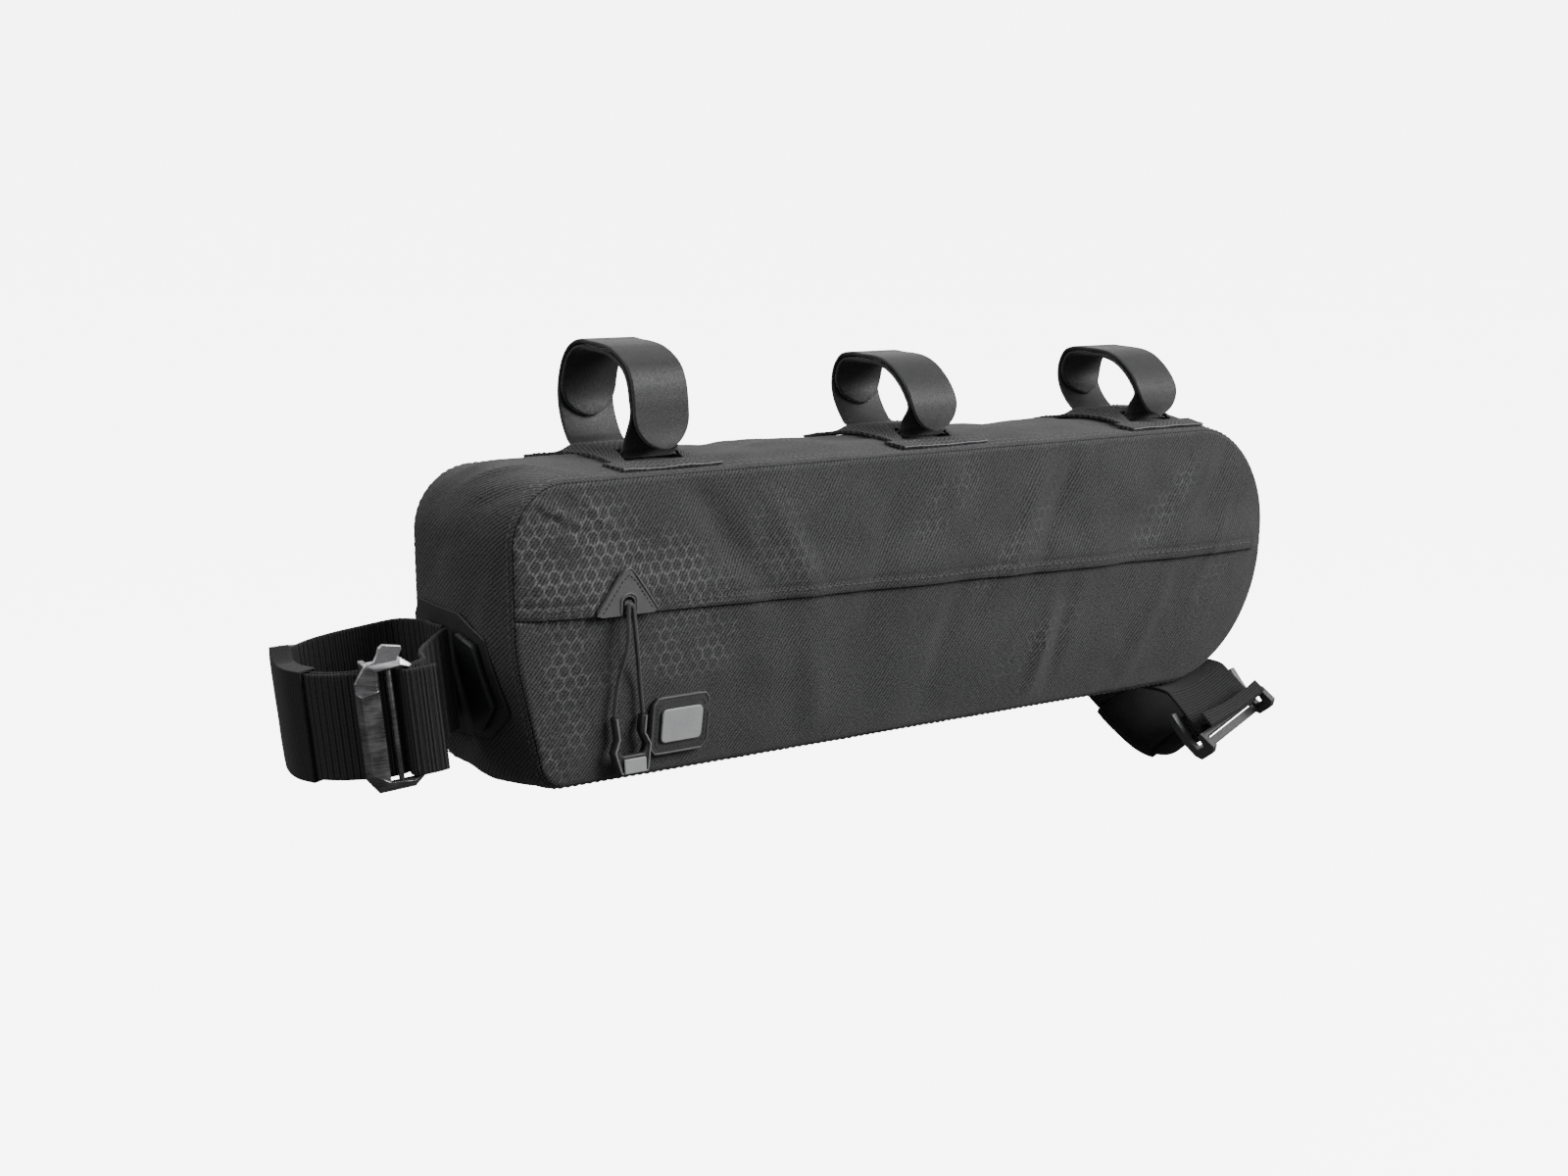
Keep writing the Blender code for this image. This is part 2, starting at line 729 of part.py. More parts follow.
def side_panels(fabric, carrier):
    """The two panels of the zip side. The upper one's hem laps over the lower one's edge as a flap."""
    rows = len(FLAP_ROWS) - 1
    ends = (point_at(TAIL_SEAM, 0.5).x, point_at(NOSE_SEAM, 0.5).x)

    def edge_line(lift):
        def at(u):
            along = ends[0] + (ends[1] - ends[0]) * u
            return Vector((along, flap_edge(along) + lift))

        return at

    flap = edge_line(0.0)
    inside = coons(
        flap,
        lambda u: point_at(TOP_SEAM, u),
        seam_part(TAIL_SEAM, flap(0.0).y, TAIL_SEAM[-1].y),
        seam_part(NOSE_SEAM, flap(1.0).y, NOSE_SEAM[-1].y),
    )

    def upper(u, v):
        point = inside(u, FLAP_ROWS[round(v * rows)])
        above = point.y - flap_edge(point.x)
        lift = FLAP_LIFT * max(0.0, min(1.0, (FLAP_RUN - above) / (FLAP_RUN - FLAP_LAP - 2 * CLEARANCE)))
        return side_place(point.x, point.y, lift)

    walled(sheet("side_panel_upper", SIDE_COLUMNS, rows, upper, fabric, carrier), FABRIC_WALL)

    hidden = edge_line(FLAP_LAP - 3 * CLEARANCE)
    below = coons(
        lambda u: point_at(BASE_SEAM, u),
        hidden,
        seam_part(TAIL_SEAM, TAIL_SEAM[0].y, hidden(0.0).y),
        seam_part(NOSE_SEAM, NOSE_SEAM[0].y, hidden(1.0).y),
    )

    def lower(u, v):
        point = below(u, v)
        return side_place(point.x, point.y)

    walled(sheet("side_panel_lower", SIDE_COLUMNS, rows, lower, fabric, carrier), FABRIC_WALL)


def back_panel(fabric, carrier):
    """The panel on the side away from the zip."""
    inside = coons(
        lambda u: point_at(BASE_SEAM, u),
        lambda u: point_at(TOP_SEAM, u),
        lambda v: point_at(TAIL_SEAM, v),
        lambda v: point_at(NOSE_SEAM, v),
    )

    def place(u, v):
        point = inside(1 - u, v)
        return Vector((point.x, HALF_BAG + pillow(point.x, point.y), point.y))

    walled(sheet("back_panel", SIDE_COLUMNS, 11, place, fabric, carrier), FABRIC_WALL)


def gusset(fabric, carrier):
    """The strip sewn round between the side panels: the bag's top, tail, bottom and nose."""
    ring = []
    for first, second in zip(WHOLE_SEAM, WHOLE_SEAM[1:] + WHOLE_SEAM[:1]):
        parts = max(1, math.ceil((second - first).length / GUSSET_STEP))
        ring += [first.lerp(second, part / parts) for part in range(parts)]
    count = len(ring)

    def place(u, v):
        index = round(u * count) % count
        along = ring[(index + 1) % count] - ring[index - 1]
        normal = Vector((along.y, -along.x)).normalized()
        across = GUSSET_EDGE * (1 - 2 * v)
        point = ring[index] + normal * crown_at(normal) * bow(across)
        return Vector((point.x, across, point.y))

    walled(sheet("gusset", count, 6, place, fabric, carrier), FABRIC_WALL)


def zip_strip(tape, metal, carrier):
    """The zip behind the flap, and the slider's tab, which shows in the garage's slot."""
    start = SEAM_ARCS[TAIL_FOOT][0].x
    end = BAG_LENGTH - NOSE_CROWN - ZIP_TAPE_END
    behind = FABRIC_WALL + 2 * CLEARANCE

    def place(u, v):
        along = start + (end - start) * u
        up = flap_edge(along) + FLAP_LAP / 2 + ZIP_TAPE_WIDTH * (v - 0.5)
        return side_place(along, up, -behind)

    walled(sheet("zip_tape", SIDE_COLUMNS, 4, place, tape, carrier), ZIP_TAPE_WALL)

    width, depth, height = SLIDER_SIZE
    foot = flap_edge(GARAGE_CENTRE) + CLEARANCE
    seat = side_place(GARAGE_CENTRE, foot, FLAP_LIFT)
    corners = ((-width / 2, 0.0), (width / 2, 0.0), (width / 2, height), (-width / 2, height))
    outline = closed_outline(corners, SLIDER_RADIUS, 2)
    prism(
        "zip_slider",
        outline,
        lambda first, second, third: Vector((GARAGE_CENTRE + first, seat.y - third, foot + second)),
        CLEARANCE,
        CLEARANCE + depth,
        metal,
        carrier,
    )


def zip_garage(rubber, carrier):
    """The stitched patch that covers the slider, pointed above and slotted below for the pull's cord."""
    foot = flap_edge(GARAGE_CENTRE)
    half = GARAGE_WIDTH / 2
    slot = GARAGE_SLOT_WIDTH / 2
    side = half * GARAGE_SIDE[0]
    side_height = GARAGE_HEIGHT * GARAGE_SIDE[1]
    slot_radius = slot * GARAGE_SLOT_ROUND
    arcs = rounded(
        (
            (-half, 0.0, GARAGE_FOOT_RADIUS, 2),
            (-slot, 0.0, GARAGE_LIP_RADIUS, 1),
            (-slot, GARAGE_SLOT_HEIGHT, slot_radius, 4),
            (slot, GARAGE_SLOT_HEIGHT, slot_radius, 4),
            (slot, 0.0, GARAGE_LIP_RADIUS, 1),
            (half, 0.0, GARAGE_FOOT_RADIUS, 2),
            (side, side_height, GARAGE_SIDE_RADIUS, 3),
            (0.0, GARAGE_HEIGHT * GARAGE_PEAK, GARAGE_TOP_RADIUS, 4),
            (-side, side_height, GARAGE_SIDE_RADIUS, 3),
        )
    )
    outline = [point for arc in arcs for point in arc]
    out = FLAP_LIFT + CLEARANCE
    prism(
        "zip_garage",
        outline,
        lambda first, second, third: side_place(GARAGE_CENTRE + first, foot + second, out + third),
        0.0,
        GARAGE_WALL,
        rubber,
        carrier,
    )


def zip_pull(cord, rubber, tip, carrier):
    """The forked pull that hangs from the slider by a loop of cord."""
    half = PULL_WIDTH / 2
    drop = PULL_TOP - PULL_FOOT
    face = side_place(PULL_CENTRE, PULL_TOP).y - PULL_STAND_OFF

    def place(first, second, third):
        return Vector((PULL_CENTRE + first, face - third, PULL_FOOT + second))

    outline = [Vector((first * half, second * drop)) for first, second in PULL_CORNERS]
    prism("zip_pull", outline, place, 0.0, PULL_THICKNESS, rubber, carrier)
    corners = [(first * half, second * drop) for first, second in PULL_TIP_CORNERS]
    window = closed_outline(corners, PULL_TIP_RADIUS, 2)
    out = PULL_THICKNESS + CLEARANCE
    prism("zip_pull_tip", window, place, out, out + PULL_TIP_WALL, tip, carrier)

    # The cord runs from one arm of the pull up through the garage's slot, round the slider's eye and back.
    strand = face - PULL_THICKNESS / 2
    eye_height = flap_edge(GARAGE_CENTRE) + CORD_EYE_RISE
    in_front = FLAP_LIFT + SLIDER_SIZE[1] + 3 * CLEARANCE + CORD_DIAMETER / 2
    eye = side_place(GARAGE_CENTRE, eye_height, in_front).y
    arms = [PULL_CENTRE + share * half for share in PULL_ARMS]
    start = PULL_TOP + CLEARANCE
    left = [GARAGE_CENTRE - share * CORD_DIAMETER for share in CORD_LEFT_SPREAD]
    right = [GARAGE_CENTRE + share * CORD_DIAMETER for share in CORD_RIGHT_SPREAD]
    slack = strand - CORD_SLACK
    lean = (CORD_LEFT_LEAN * CORD_DIAMETER, CORD_RIGHT_LEAN * CORD_DIAMETER)
    route = [
        Vector((arms[0], strand, start)),
        Vector((arms[0] + lean[0], slack, start + CORD_BEND)),
        Vector((left[0], eye - CORD_STAND, eye_height - CORD_BEND)),
        Vector((left[1], eye, eye_height)),
        Vector((GARAGE_CENTRE, eye, eye_height + CORD_DIAMETER * CORD_LOOP_RISE)),
        Vector((right[0], eye, eye_height)),
        Vector((right[1], eye - CORD_STAND, eye_height - CORD_BEND)),
        Vector((arms[1] - lean[1], slack, start + CORD_BEND)),
        Vector((arms[1], strand, start)),
    ]
    curve = bpy.data.curves.new("pull_cord", "CURVE")
    curve.dimensions = "3D"
    curve.bevel_depth = CORD_DIAMETER / 2
    curve.bevel_resolution = 2
    curve.use_fill_caps = True
    spline = curve.splines.new("POLY")
    points = smooth_route(route, CORD_STEP)
    spline.points.add(len(points) - 1)
    for knot, point in zip(spline.points, points):
        knot.co = (*point, 1.0)
    curve.materials.append(cord)
    made = bpy.data.objects.new("pull_cord", curve)
    made.parent = carrier
    bpy.context.scene.collection.objects.link(made)


def badge(rubber, plate_finish, carrier):
    """A plain sewn badge with a plain plate on it."""
    along, up = BADGE_CENTRE

    def rectangle(width, height, radius):
        corners = ((-width, -height), (width, -height), (width, height), (-width, height))
        return closed_outline([(first / 2, second / 2) for first, second in corners], radius, 3)

    def on_side(out):
        return lambda point: side_place(along + point.x, up + point.y, out)

    out = CLEARANCE + BADGE_WALL
    patch = rectangle(BADGE_WIDTH, BADGE_HEIGHT, BADGE_RADIUS)
    walled(plate("badge", patch, 3, on_side(out), rubber, carrier), BADGE_WALL)
    out += CLEARANCE + BADGE_PLATE_WALL
    face = rectangle(BADGE_PLATE_WIDTH, BADGE_PLATE_HEIGHT, BADGE_PLATE_RADIUS)
    walled(plate("badge_plate", face, 2, on_side(out), plate_finish, carrier), BADGE_PLATE_WALL)


def strap_patch(name, centre, rubber, carrier):
    """A patch sewn on the top. Its raised middle bridges the strap, which comes up through two slots."""
    half_length = PATCH_LENGTH / 2
    half_width = PATCH_WIDTH / 2
    waist = PATCH_WAIST / 2
    slot = TOP_STRAP_WIDTH / 2 + 2 * CLEARANCE
    inner, outer = slot / half_length, waist / half_length
    lines_along = (-1.0, -outer, -inner, 0.0, inner, outer, 1.0)
    near, far = PATCH_SLOT_NEAR / half_width, PATCH_SLOT_FAR / half_width
    lines_across = (-1.0, -PATCH_HEM, -far, -near, -PATCH_RIDGE, PATCH_RIDGE, near, far, PATCH_HEM, 1.0)
    shape = bmesh.new()
    columns, rows = len(lines_along) - 1, len(lines_across) - 1
    bmesh.ops.create_grid(shape, x_segments=columns, y_segments=rows, size=0.5)
    for point in shape.verts:
        first = lines_along[round((point.co.x + 0.5) * columns)] * half_length
        second = lines_across[round((point.co.y + 0.5) * rows)] * half_width
        flat = max(0.0, min(1.0, (abs(second) - PATCH_SLOT_NEAR) / (PATCH_SLOT_FAR - PATCH_SLOT_NEAR)))
        lift = PATCH_LIFT * (1 - flat)
        if abs(first) > half_length * PATCH_NOTCH:
            lift *= PATCH_EDGE_LIFT
        seat = top_height(centre + first, second) + CLEARANCE + PATCH_WALL
        if abs(first) > waist + CLEARANCE and PATCH_SLOT_FAR < abs(second) < PATCH_NOTCH * half_width:
            first *= PATCH_NOTCH
        point.co = (centre + first, second, seat + lift)
    holes = []
    for face in shape.faces:
        middle = face.calc_center_median()
        beside_middle = abs(middle.x - centre)
        in_slot = beside_middle < slot and PATCH_SLOT_NEAR < abs(middle.y) < PATCH_SLOT_FAR
        in_waist = beside_middle > waist and abs(middle.y) < PATCH_SLOT_FAR
        if in_slot or in_waist:
            holes.append(face)
    bmesh.ops.delete(shape, geom=holes, context="FACES")
    walled(piece(name, shape, rubber, carrier), PATCH_WALL)


def top_strap(name, centre, height, low, material, carrier):
    """A hook-and-loop strap: from its near tip over the top, down through the far slot, under the patch, up
    through the near slot and round again inside to its inner tip."""
    base = top_height(centre, 0.0)
    half = TOP_LOOP_WIDTH / 2
    column = 2 if low else 0
    outer = [Vector((row[column] * half, base + row[column + 1] * height)) for row in TOP_LOOP_ROUTE]
    outer = smooth_route(outer, TOP_STRAP_ROUTE_STEP)[::-1]
    inner = beside(outer, -TOP_STRAP_LAYER)
    crest = max(range(len(inner)), key=lambda index: inner[index].y)
    rising = [point for point in inner[:crest] if point.y > base + INNER_TURN_START * height]
    falling = [point for point in inner[crest:] if point.y > base + INNER_TURN_END * height]
    reach = (PATCH_SLOT_NEAR + PATCH_SLOT_FAR) / 2

    def under(across, lift):
        return Vector((across, top_height(centre, across) + CLEARANCE + TOP_STRAP_WALL / 2 + lift))

    crossing = [
        under(reach - SLOT_APPROACH, SLOT_LIFT),
        under(0.5 * reach, 0.0),
        under(0.0, 0.0),
        under(-0.5 * reach, 0.0),
        under(SLOT_APPROACH - reach, SLOT_LIFT),
    ]
    drop = [under(reach + OUTER_LEAN, SLOT_LOW_RISE)]
    rise = [under(-reach, SLOT_LOW_RISE), under(-reach - SLOT_LEAN, SLOT_HIGH_RISE)]
    route = outer[:-3:6] + drop + crossing + rise + rising[4::6] + falling[::6]
    route = smooth_route(route, TOP_STRAP_STEP)

    def place(first, second, across):
        return Vector((centre + across, first, second))

    tips = (TOP_STRAP_TIP, TOP_STRAP_TIP)
    strap(name, route, TOP_STRAP_WIDTH, TOP_STRAP_WALL, place, tips, material, carrier)


def buckle(name, place, hooked, metal, carrier):
    """A ladder buckle in its own directions: along the strap, across it, and out. A wide faceted bar, a thin
    bar and an end bar are joined by two arms."""
    stops = [0.0]
    for width in (BUCKLE_WIDE_BAR, BUCKLE_WIDE_SLOT, BUCKLE_THIN_BAR, BUCKLE_FOLD_SLOT, BUCKLE_END_BAR):
        stops.append(stops[-1] + width)
    middle = stops[2] + BUCKLE_THIN_BAR / 2
    stops = [stop - middle for stop in stops]
    stops.insert(1, stops[0] + BUCKLE_WIDE_BAR / 2)
    levels = (-BUCKLE_LENGTH / 2, -BUCKLE_SLOT / 2, 0.0, BUCKLE_SLOT / 2, BUCKLE_LENGTH / 2)
    shape = bmesh.new()
    columns, rows = len(stops) - 1, len(levels) - 1
    bmesh.ops.create_grid(shape, x_segments=columns, y_segments=rows, size=0.5)
    for point in shape.verts:
        column = round((point.co.x + 0.5) * columns)
        row = round((point.co.y + 0.5) * rows)
        along, across = stops[column], levels[row]
        out = BUCKLE_WALL / 2
        if column == 1:
            out += BUCKLE_FACET
        if column in (0, columns) and row in (0, rows):
            across *= BUCKLE_CORNER
        point.co = (along, across, out)
    gaps = []
    for face in shape.faces:
        spot = face.calc_center_median()
        in_wide_slot = stops[2] < spot.x < stops[3]
        in_fold_slot = stops[4] < spot.x < stops[5]
        if abs(spot.y) < BUCKLE_SLOT / 2 and (in_wide_slot or in_fold_slot):
            gaps.append(face)
    bmesh.ops.delete(shape, geom=gaps, context="FACES")
    for point in shape.verts:
        point.co = place(*point.co)
    bmesh.ops.recalc_face_normals(shape, faces=shape.faces)
    outward = place(0.0, 0.0, 1.0) - place(0.0, 0.0, 0.0)
    if sum((face.normal.dot(outward) for face in shape.faces), 0.0) < 0:
        bmesh.ops.reverse_faces(shape, faces=shape.faces)
    made = walled(piece(name, shape, metal, carrier), BUCKLE_WALL)

    # A rear bar carries the strap behind the wide bar.
    arm = BUCKLE_LENGTH / 2 - ARM_SPARE
    slot = BUCKLE_SLOT / 2
    depth = REAR_BAR_DEPTH
    front = BUCKLE_WALL / 2 - REAR_BAR_BITE
    legs = [
        Vector(corner)
        for corner in (
            (-arm, front),
            (-arm, -depth),
            (arm, -depth),
            (arm, front),
            (slot, front),
            (slot, REAR_BAR_WALL - depth),
            (-slot, REAR_BAR_WALL - depth),
            (-slot, front),
        )
    ]
    back = stops[2] - REAR_BAR_SET_BACK
    rear = prism(
        name + "_rear_bar",
        legs,
        lambda first, second, third: place(third, first, second),
        back,
        back + REAR_BAR_WIDTH,
        metal,
        carrier,
    )
    helpers = [rear]
    if hooked:
        lip = BUCKLE_LENGTH / 2
        hook = [
            Vector(corner)
            for corner in (
                (stops[2] - HOOK_BACK, lip - HOOK_FOOT),
                (stops[4] + HOOK_BACK, lip - HOOK_FOOT),
                (stops[4] + HOOK_SHOULDER, lip + 0.55 * BUCKLE_HOOK),
                (stops[4] - HOOK_TIP, lip + BUCKLE_HOOK),
                (stops[3] - HOOK_TIP, lip + 0.5 * BUCKLE_HOOK),
            )
        ]
        low, high = HOOK_LIFT - HOOK_HALF_WALL, HOOK_LIFT + HOOK_HALF_WALL
        helpers.append(prism(name + "_hook", hook, place, low, high, metal, carrier))
    return joined(made, *helpers)


def tail_strap(webbing, lining, rubber, metal, carrier):
    """The strap round the seat tube, on its patch, with its buckle and keeper."""
    half = HALF_BAG

    def scaled(corners):
        return [(first * half, second * BAG_HEIGHT) for first, second in reversed(corners)]

    def on_tail(out):
        return lambda point: Vector((tail_place(point.y, point.x) - out, point.x, point.y))

    patch = closed_outline(scaled(TAIL_PATCH_CORNERS), TAIL_PATCH_RADIUS, 2)
    out = CLEARANCE + TAIL_PATCH_WALL
    walled(plate("tail_patch", patch, 4, on_tail(out), rubber, carrier), TAIL_PATCH_WALL)
    pocket = closed_outline(scaled(TAIL_POCKET_CORNERS), TAIL_PATCH_RADIUS, 2)
    top = out + CLEARANCE + TAIL_POCKET_WALL
    walled(plate("tail_pocket", pocket, 3, on_tail(top), lining, carrier), TAIL_POCKET_WALL)

    # The strap's own directions: out from the tail face, across the bag, and up along the face
    sine, cosine = math.sin(TAIL_TILT), math.cos(TAIL_TILT)
    foot = Vector((tail_place(TAIL_STRAP_HEIGHT, 0.0) - out, 0.0, TAIL_STRAP_HEIGHT))

    def place(first, second, across):
        out_and_up = Vector((-cosine, 0.0, -sine)) * first + Vector((-sine, 0.0, cosine)) * across
        return foot + out_and_up + Vector((0.0, second, 0.0))

    def on_patch(across):
        stands = []
        for share in (-1.0, -0.5, 0.0, 0.5, 1.0):
            height = TAIL_STRAP_HEIGHT + HALF_WEBBING * share
            inward = tail_place(height, across) - out - foot.x
            stands.append(-cosine * inward - sine * (height - foot.z))
        return Vector((max(stands) + WEBBING_WALL / 2 + 2 * CLEARANCE, across))

    def shares(rows):
        return [Vector((first * TAIL_LOOP_REACH, second * half)) for first, second in rows]

    turn = TAIL_BUCKLE_TURN
    seat = shares([TAIL_BUCKLE_PLACE])[0]
    along = Vector((-math.cos(turn), -math.sin(turn)))
    outward = Vector((math.sin(turn), -math.cos(turn)))

    def buckle_place(first, second, third):
        spot = seat + along * first + outward * third
        return place(spot.x, spot.y, second)

    buckle("tail_buckle", buckle_place, True, metal, carrier)

    wrap = (REAR_BAR_WALL + WEBBING_WALL) / 2 + 2 * CLEARANCE + TAIL_WRAP_SPARE
    rear = stop_of_rear_bar()
    bar = seat + along * rear + outward * (REAR_BAR_WALL / 2 - REAR_BAR_DEPTH)
    loop = [on_patch(across) for across in TAIL_SEWN_PLACES] + shares(TAIL_STRAP_ROUTE)
    heading = math.atan2(-outward.y, -outward.x)
    round_bar = turn_round(bar, wrap, heading, math.pi, 6)
    near = smooth_route(shares(TAIL_STRAP_ROUTE)[-5:] + [round_bar[0]], TOP_STRAP_ROUTE_STEP)
    outside = beside(near, WEBBING_LAYER + TAIL_LAYER_SPARE)[::-1]
    free_end = [point for point in outside if (point - round_bar[-1]).length > TAIL_FREE_END][::5]
    route = smooth_route(loop + round_bar + free_end, WEBBING_STEP)
    strap("tail_strap", route, WEBBING_WIDTH, WEBBING_WALL, place, (0.0, 0.0), webbing, carrier)

    fold = seat + along * stop_of_end_bar()
    over = (BUCKLE_WALL + WEBBING_WALL) / 2 + 3 * CLEARANCE
    start = math.atan2(-outward.y, -outward.x)
    round_fold = turn_round(fold, over, start, -math.pi, 6)
    last = round_fold[-1]
    end = [last + along * TAIL_FOLD_ENDS[0], last + along * TAIL_FOLD_ENDS[1] - outward * TAIL_FOLD_LIFT]
    sewn = on_patch(TAIL_ANCHOR_START[1]) + Vector((TAIL_ANCHOR_START[0], 0.0))
    anchor = [sewn] + shares(TAIL_ANCHOR_ROUTE) + round_fold + end
    anchor = smooth_route(anchor, WEBBING_STEP)
    strap("tail_anchor_strap", anchor, WEBBING_WIDTH, WEBBING_WALL, place, (0.0, 0.0), webbing, carrier)

    # The keeper holds the strap's free end against it at the far turn.
    turn_part = shares(TAIL_STRAP_ROUTE)[KEEPER_ROWS[0] : KEEPER_ROWS[1]]
    layer = WEBBING_LAYER + TAIL_LAYER_SPARE
    middle = beside(smooth_route(turn_part, WEBBING_STEP), layer / 2)
    inner = (layer + WEBBING_WALL) / 2 + 2 * CLEARANCE
    turned = (KEEPER_WALL, WEBBING_WIDTH, place, KEEPER_EAR, lining, carrier)
    sleeve("tail_strap_keeper", middle, inner, *turned)


def nose_strap(webbing, lining, metal, carrier):
    """The strap round the down tube, sewn below the nose, with its buckle and sleeve."""
    half = HALF_BAG
    sine, cosine = math.sin(NOSE_TILT), math.cos(NOSE_TILT)
    along = Vector((cosine, 0.0, sine))
    down = Vector((sine, 0.0, -cosine))
    corner_height = SEAM_CORNERS[NOSE_FOOT][1] * BAG_HEIGHT
    centre = Vector((BAG_LENGTH - NOSE_FOOT_RADIUS, 0.0, corner_height + NOSE_FOOT_RADIUS))
    shift = NOSE_SEAT_SHIFT
    seat = centre - along * shift + down * math.sqrt(NOSE_FOOT_RADIUS**2 - shift**2)
    crown = crown_at(Vector((sine, -cosine)))

    def sag(across):
        radius = NOSE_FOOT_RADIUS
        return math.sqrt(radius**2 - (across - shift) ** 2) - math.sqrt(radius**2 - shift**2)

    def place(first, second, across):
        settled = sag(across) * max(0.0, 1 - max(0.0, second - crown) / NOSE_SETTLE)
        return seat + along * across + down * (second + settled) + Vector((0.0, first, 0.0))

    def on_base(across):
        return Vector((across * half, crown * bow(across * half) + WEBBING_WALL / 2 + 2 * CLEARANCE))

    def shares(rows):
        return [Vector((first * half, second * NOSE_LOOP_DROP)) for first, second in rows]

    turn = NOSE_BUCKLE_TURN
    bar = shares([NOSE_BUCKLE_PLACE])[0]
    onward = Vector((-math.cos(turn), math.sin(turn)))
    outward = Vector((-math.sin(turn), -math.cos(turn)))

    def buckle_point(first, second):
        return bar + (onward * first + outward * second) * NOSE_BUCKLE_LENGTH

    reach = HALF_WEBBING + 2 * CLEARANCE + ARM_SPARE

    def bars(label, rows, low, high):
        outline = [buckle_point(*row) for row in rows]
        return prism(
            label,
            outline,
            lambda first, second, third: seat + along * third + down * second + Vector((0.0, first, 0.0)),
            low,
            high,
            metal,
            carrier,
        )

    arm = bars("nose_buckle", NOSE_ARM, -reach - NOSE_BUCKLE_ARM_WIDTH, -reach)
    lap = NOSE_BUCKLE_ARM_WIDTH / 2
    joined(
        arm,
        bars("nose_buckle_far_arm", NOSE_ARM, reach, reach + NOSE_BUCKLE_ARM_WIDTH),
        bars("nose_buckle_wide_bar", NOSE_WIDE_BAR, -reach - lap, reach + lap),
        bars("nose_buckle_thin_bar", NOSE_THIN_BAR, -reach - lap, reach + lap),
        bars("nose_buckle_end_bar", NOSE_END_BAR, -reach - lap, reach + lap),
    )

    bar_radius = NOSE_BUCKLE_LENGTH * NOSE_BAR_HALF * math.sqrt(2)
    wrap = bar_radius + WEBBING_WALL / 2 + 2 * CLEARANCE + NOSE_WRAP_SPARE
    heading = math.atan2(-outward.y, -outward.x)
    fold = turn_round(bar, wrap, heading, -math.pi, 8)
    end = fold[-1] - onward * NOSE_FOLD_END
    sewn = [on_base(NOSE_SEWN_EDGES[2]), on_base(NOSE_SEWN_EDGES[3])]
    anchor = sewn + shares(NOSE_ANCHOR_ROUTE) + [fold[0] - onward * NOSE_FOLD_START] + fold + [end]
    anchor = smooth_route(anchor, WEBBING_STEP)
    strap("nose_anchor_strap", anchor, WEBBING_WIDTH, WEBBING_WALL, place, (0.0, 0.0), webbing, carrier, 6)

    sewn = [on_base(NOSE_SEWN_EDGES[1]), on_base(NOSE_SEWN_EDGES[0])]
    route = sewn + shares(NOSE_STRAP_ROUTE)[:-1] + [buckle_point(*row) for row in NOSE_STRAP_END]
    route = smooth_route(route, WEBBING_STEP)
    strap("nose_strap", route, WEBBING_WIDTH, WEBBING_WALL, place, (0.0, 0.0), webbing, carrier, 6)
    first, last = (round(share * (len(route) - 1)) for share in SLEEVE_SHARES)
    inner = WEBBING_WALL / 2 + 2 * CLEARANCE
    turned = (KEEPER_WALL, WEBBING_WIDTH, place, 0.0, lining, carrier, 6)
    sleeve("nose_strap_sleeve", route[first:last], inner, *turned)


def stop_of_rear_bar():
    """Where a buckle's rear bar lies, from its thin bar."""
    return -BUCKLE_THIN_BAR / 2 - BUCKLE_WIDE_SLOT - REAR_BAR_SET_BACK + REAR_BAR_WIDTH / 2


def stop_of_end_bar():
    """Where a buckle's end bar lies, from its thin bar."""
    return BUCKLE_THIN_BAR / 2 + BUCKLE_FOLD_SLOT + BUCKLE_END_BAR / 2


def clear_scene():
    for item in list(bpy.data.objects):
        bpy.data.objects.remove(item, do_unlink=True)


def main():
    clear_scene()
    carrier = bpy.data.objects.new("frame_bag", None)
    carrier.location = (-MIDDLE_LOOP_PLACE, 0.0, -BAG_HEIGHT - TOP_CROWN - MIDDLE_LOOP_HEIGHT / 2)
    bpy.context.scene.collection.objects.link(carrier)

    fabric = finish("charcoal_fabric", (0.045, 0.045, 0.047), 0.85)
    zip_tape = finish("zip_tape", (0.012, 0.012, 0.012), 0.8)
    rubber = finish("patch_rubber", (0.035, 0.035, 0.036), 0.6)
    lining = finish("smooth_lining", (0.018, 0.019, 0.020), 0.55)
    webbing = finish("webbing", (0.014, 0.014, 0.015), 0.8)
    hook_loop = finish("hook_and_loop", (0.022, 0.022, 0.024), 0.6)
    gunmetal = finish("gunmetal", (0.16, 0.16, 0.165), 0.35, 1.0)
    cord = finish("cord", (0.02, 0.02, 0.02), 0.7)
    pale = finish("pale_grey", (0.62, 0.63, 0.64), 0.45)

    side_panels(fabric, carrier)
    back_panel(fabric, carrier)
    gusset(fabric, carrier)
    zip_strip(zip_tape, gunmetal, carrier)
    zip_garage(rubber, carrier)
    zip_pull(cord, rubber, pale, carrier)
    badge(rubber, pale, carrier)
    loops = (
        ("tail", TAIL_LOOP_PLACE, TAIL_LOOP_HEIGHT, False),
        ("middle", MIDDLE_LOOP_PLACE, MIDDLE_LOOP_HEIGHT, True),
        ("nose", NOSE_LOOP_PLACE, NOSE_LOOP_HEIGHT, True),
    )
    for name, centre, height, low in loops:
        strap_patch("top_patch_" + name, centre, rubber, carrier)
        top_strap("top_strap_" + name, centre, height, low, hook_loop, carrier)
    tail_strap(webbing, lining, rubber, gunmetal, carrier)
    nose_strap(webbing, lining, gunmetal, carrier)


main()
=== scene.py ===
import math
from functools import lru_cache

import bmesh
import bpy
from mathutils import Matrix, Vector, noise


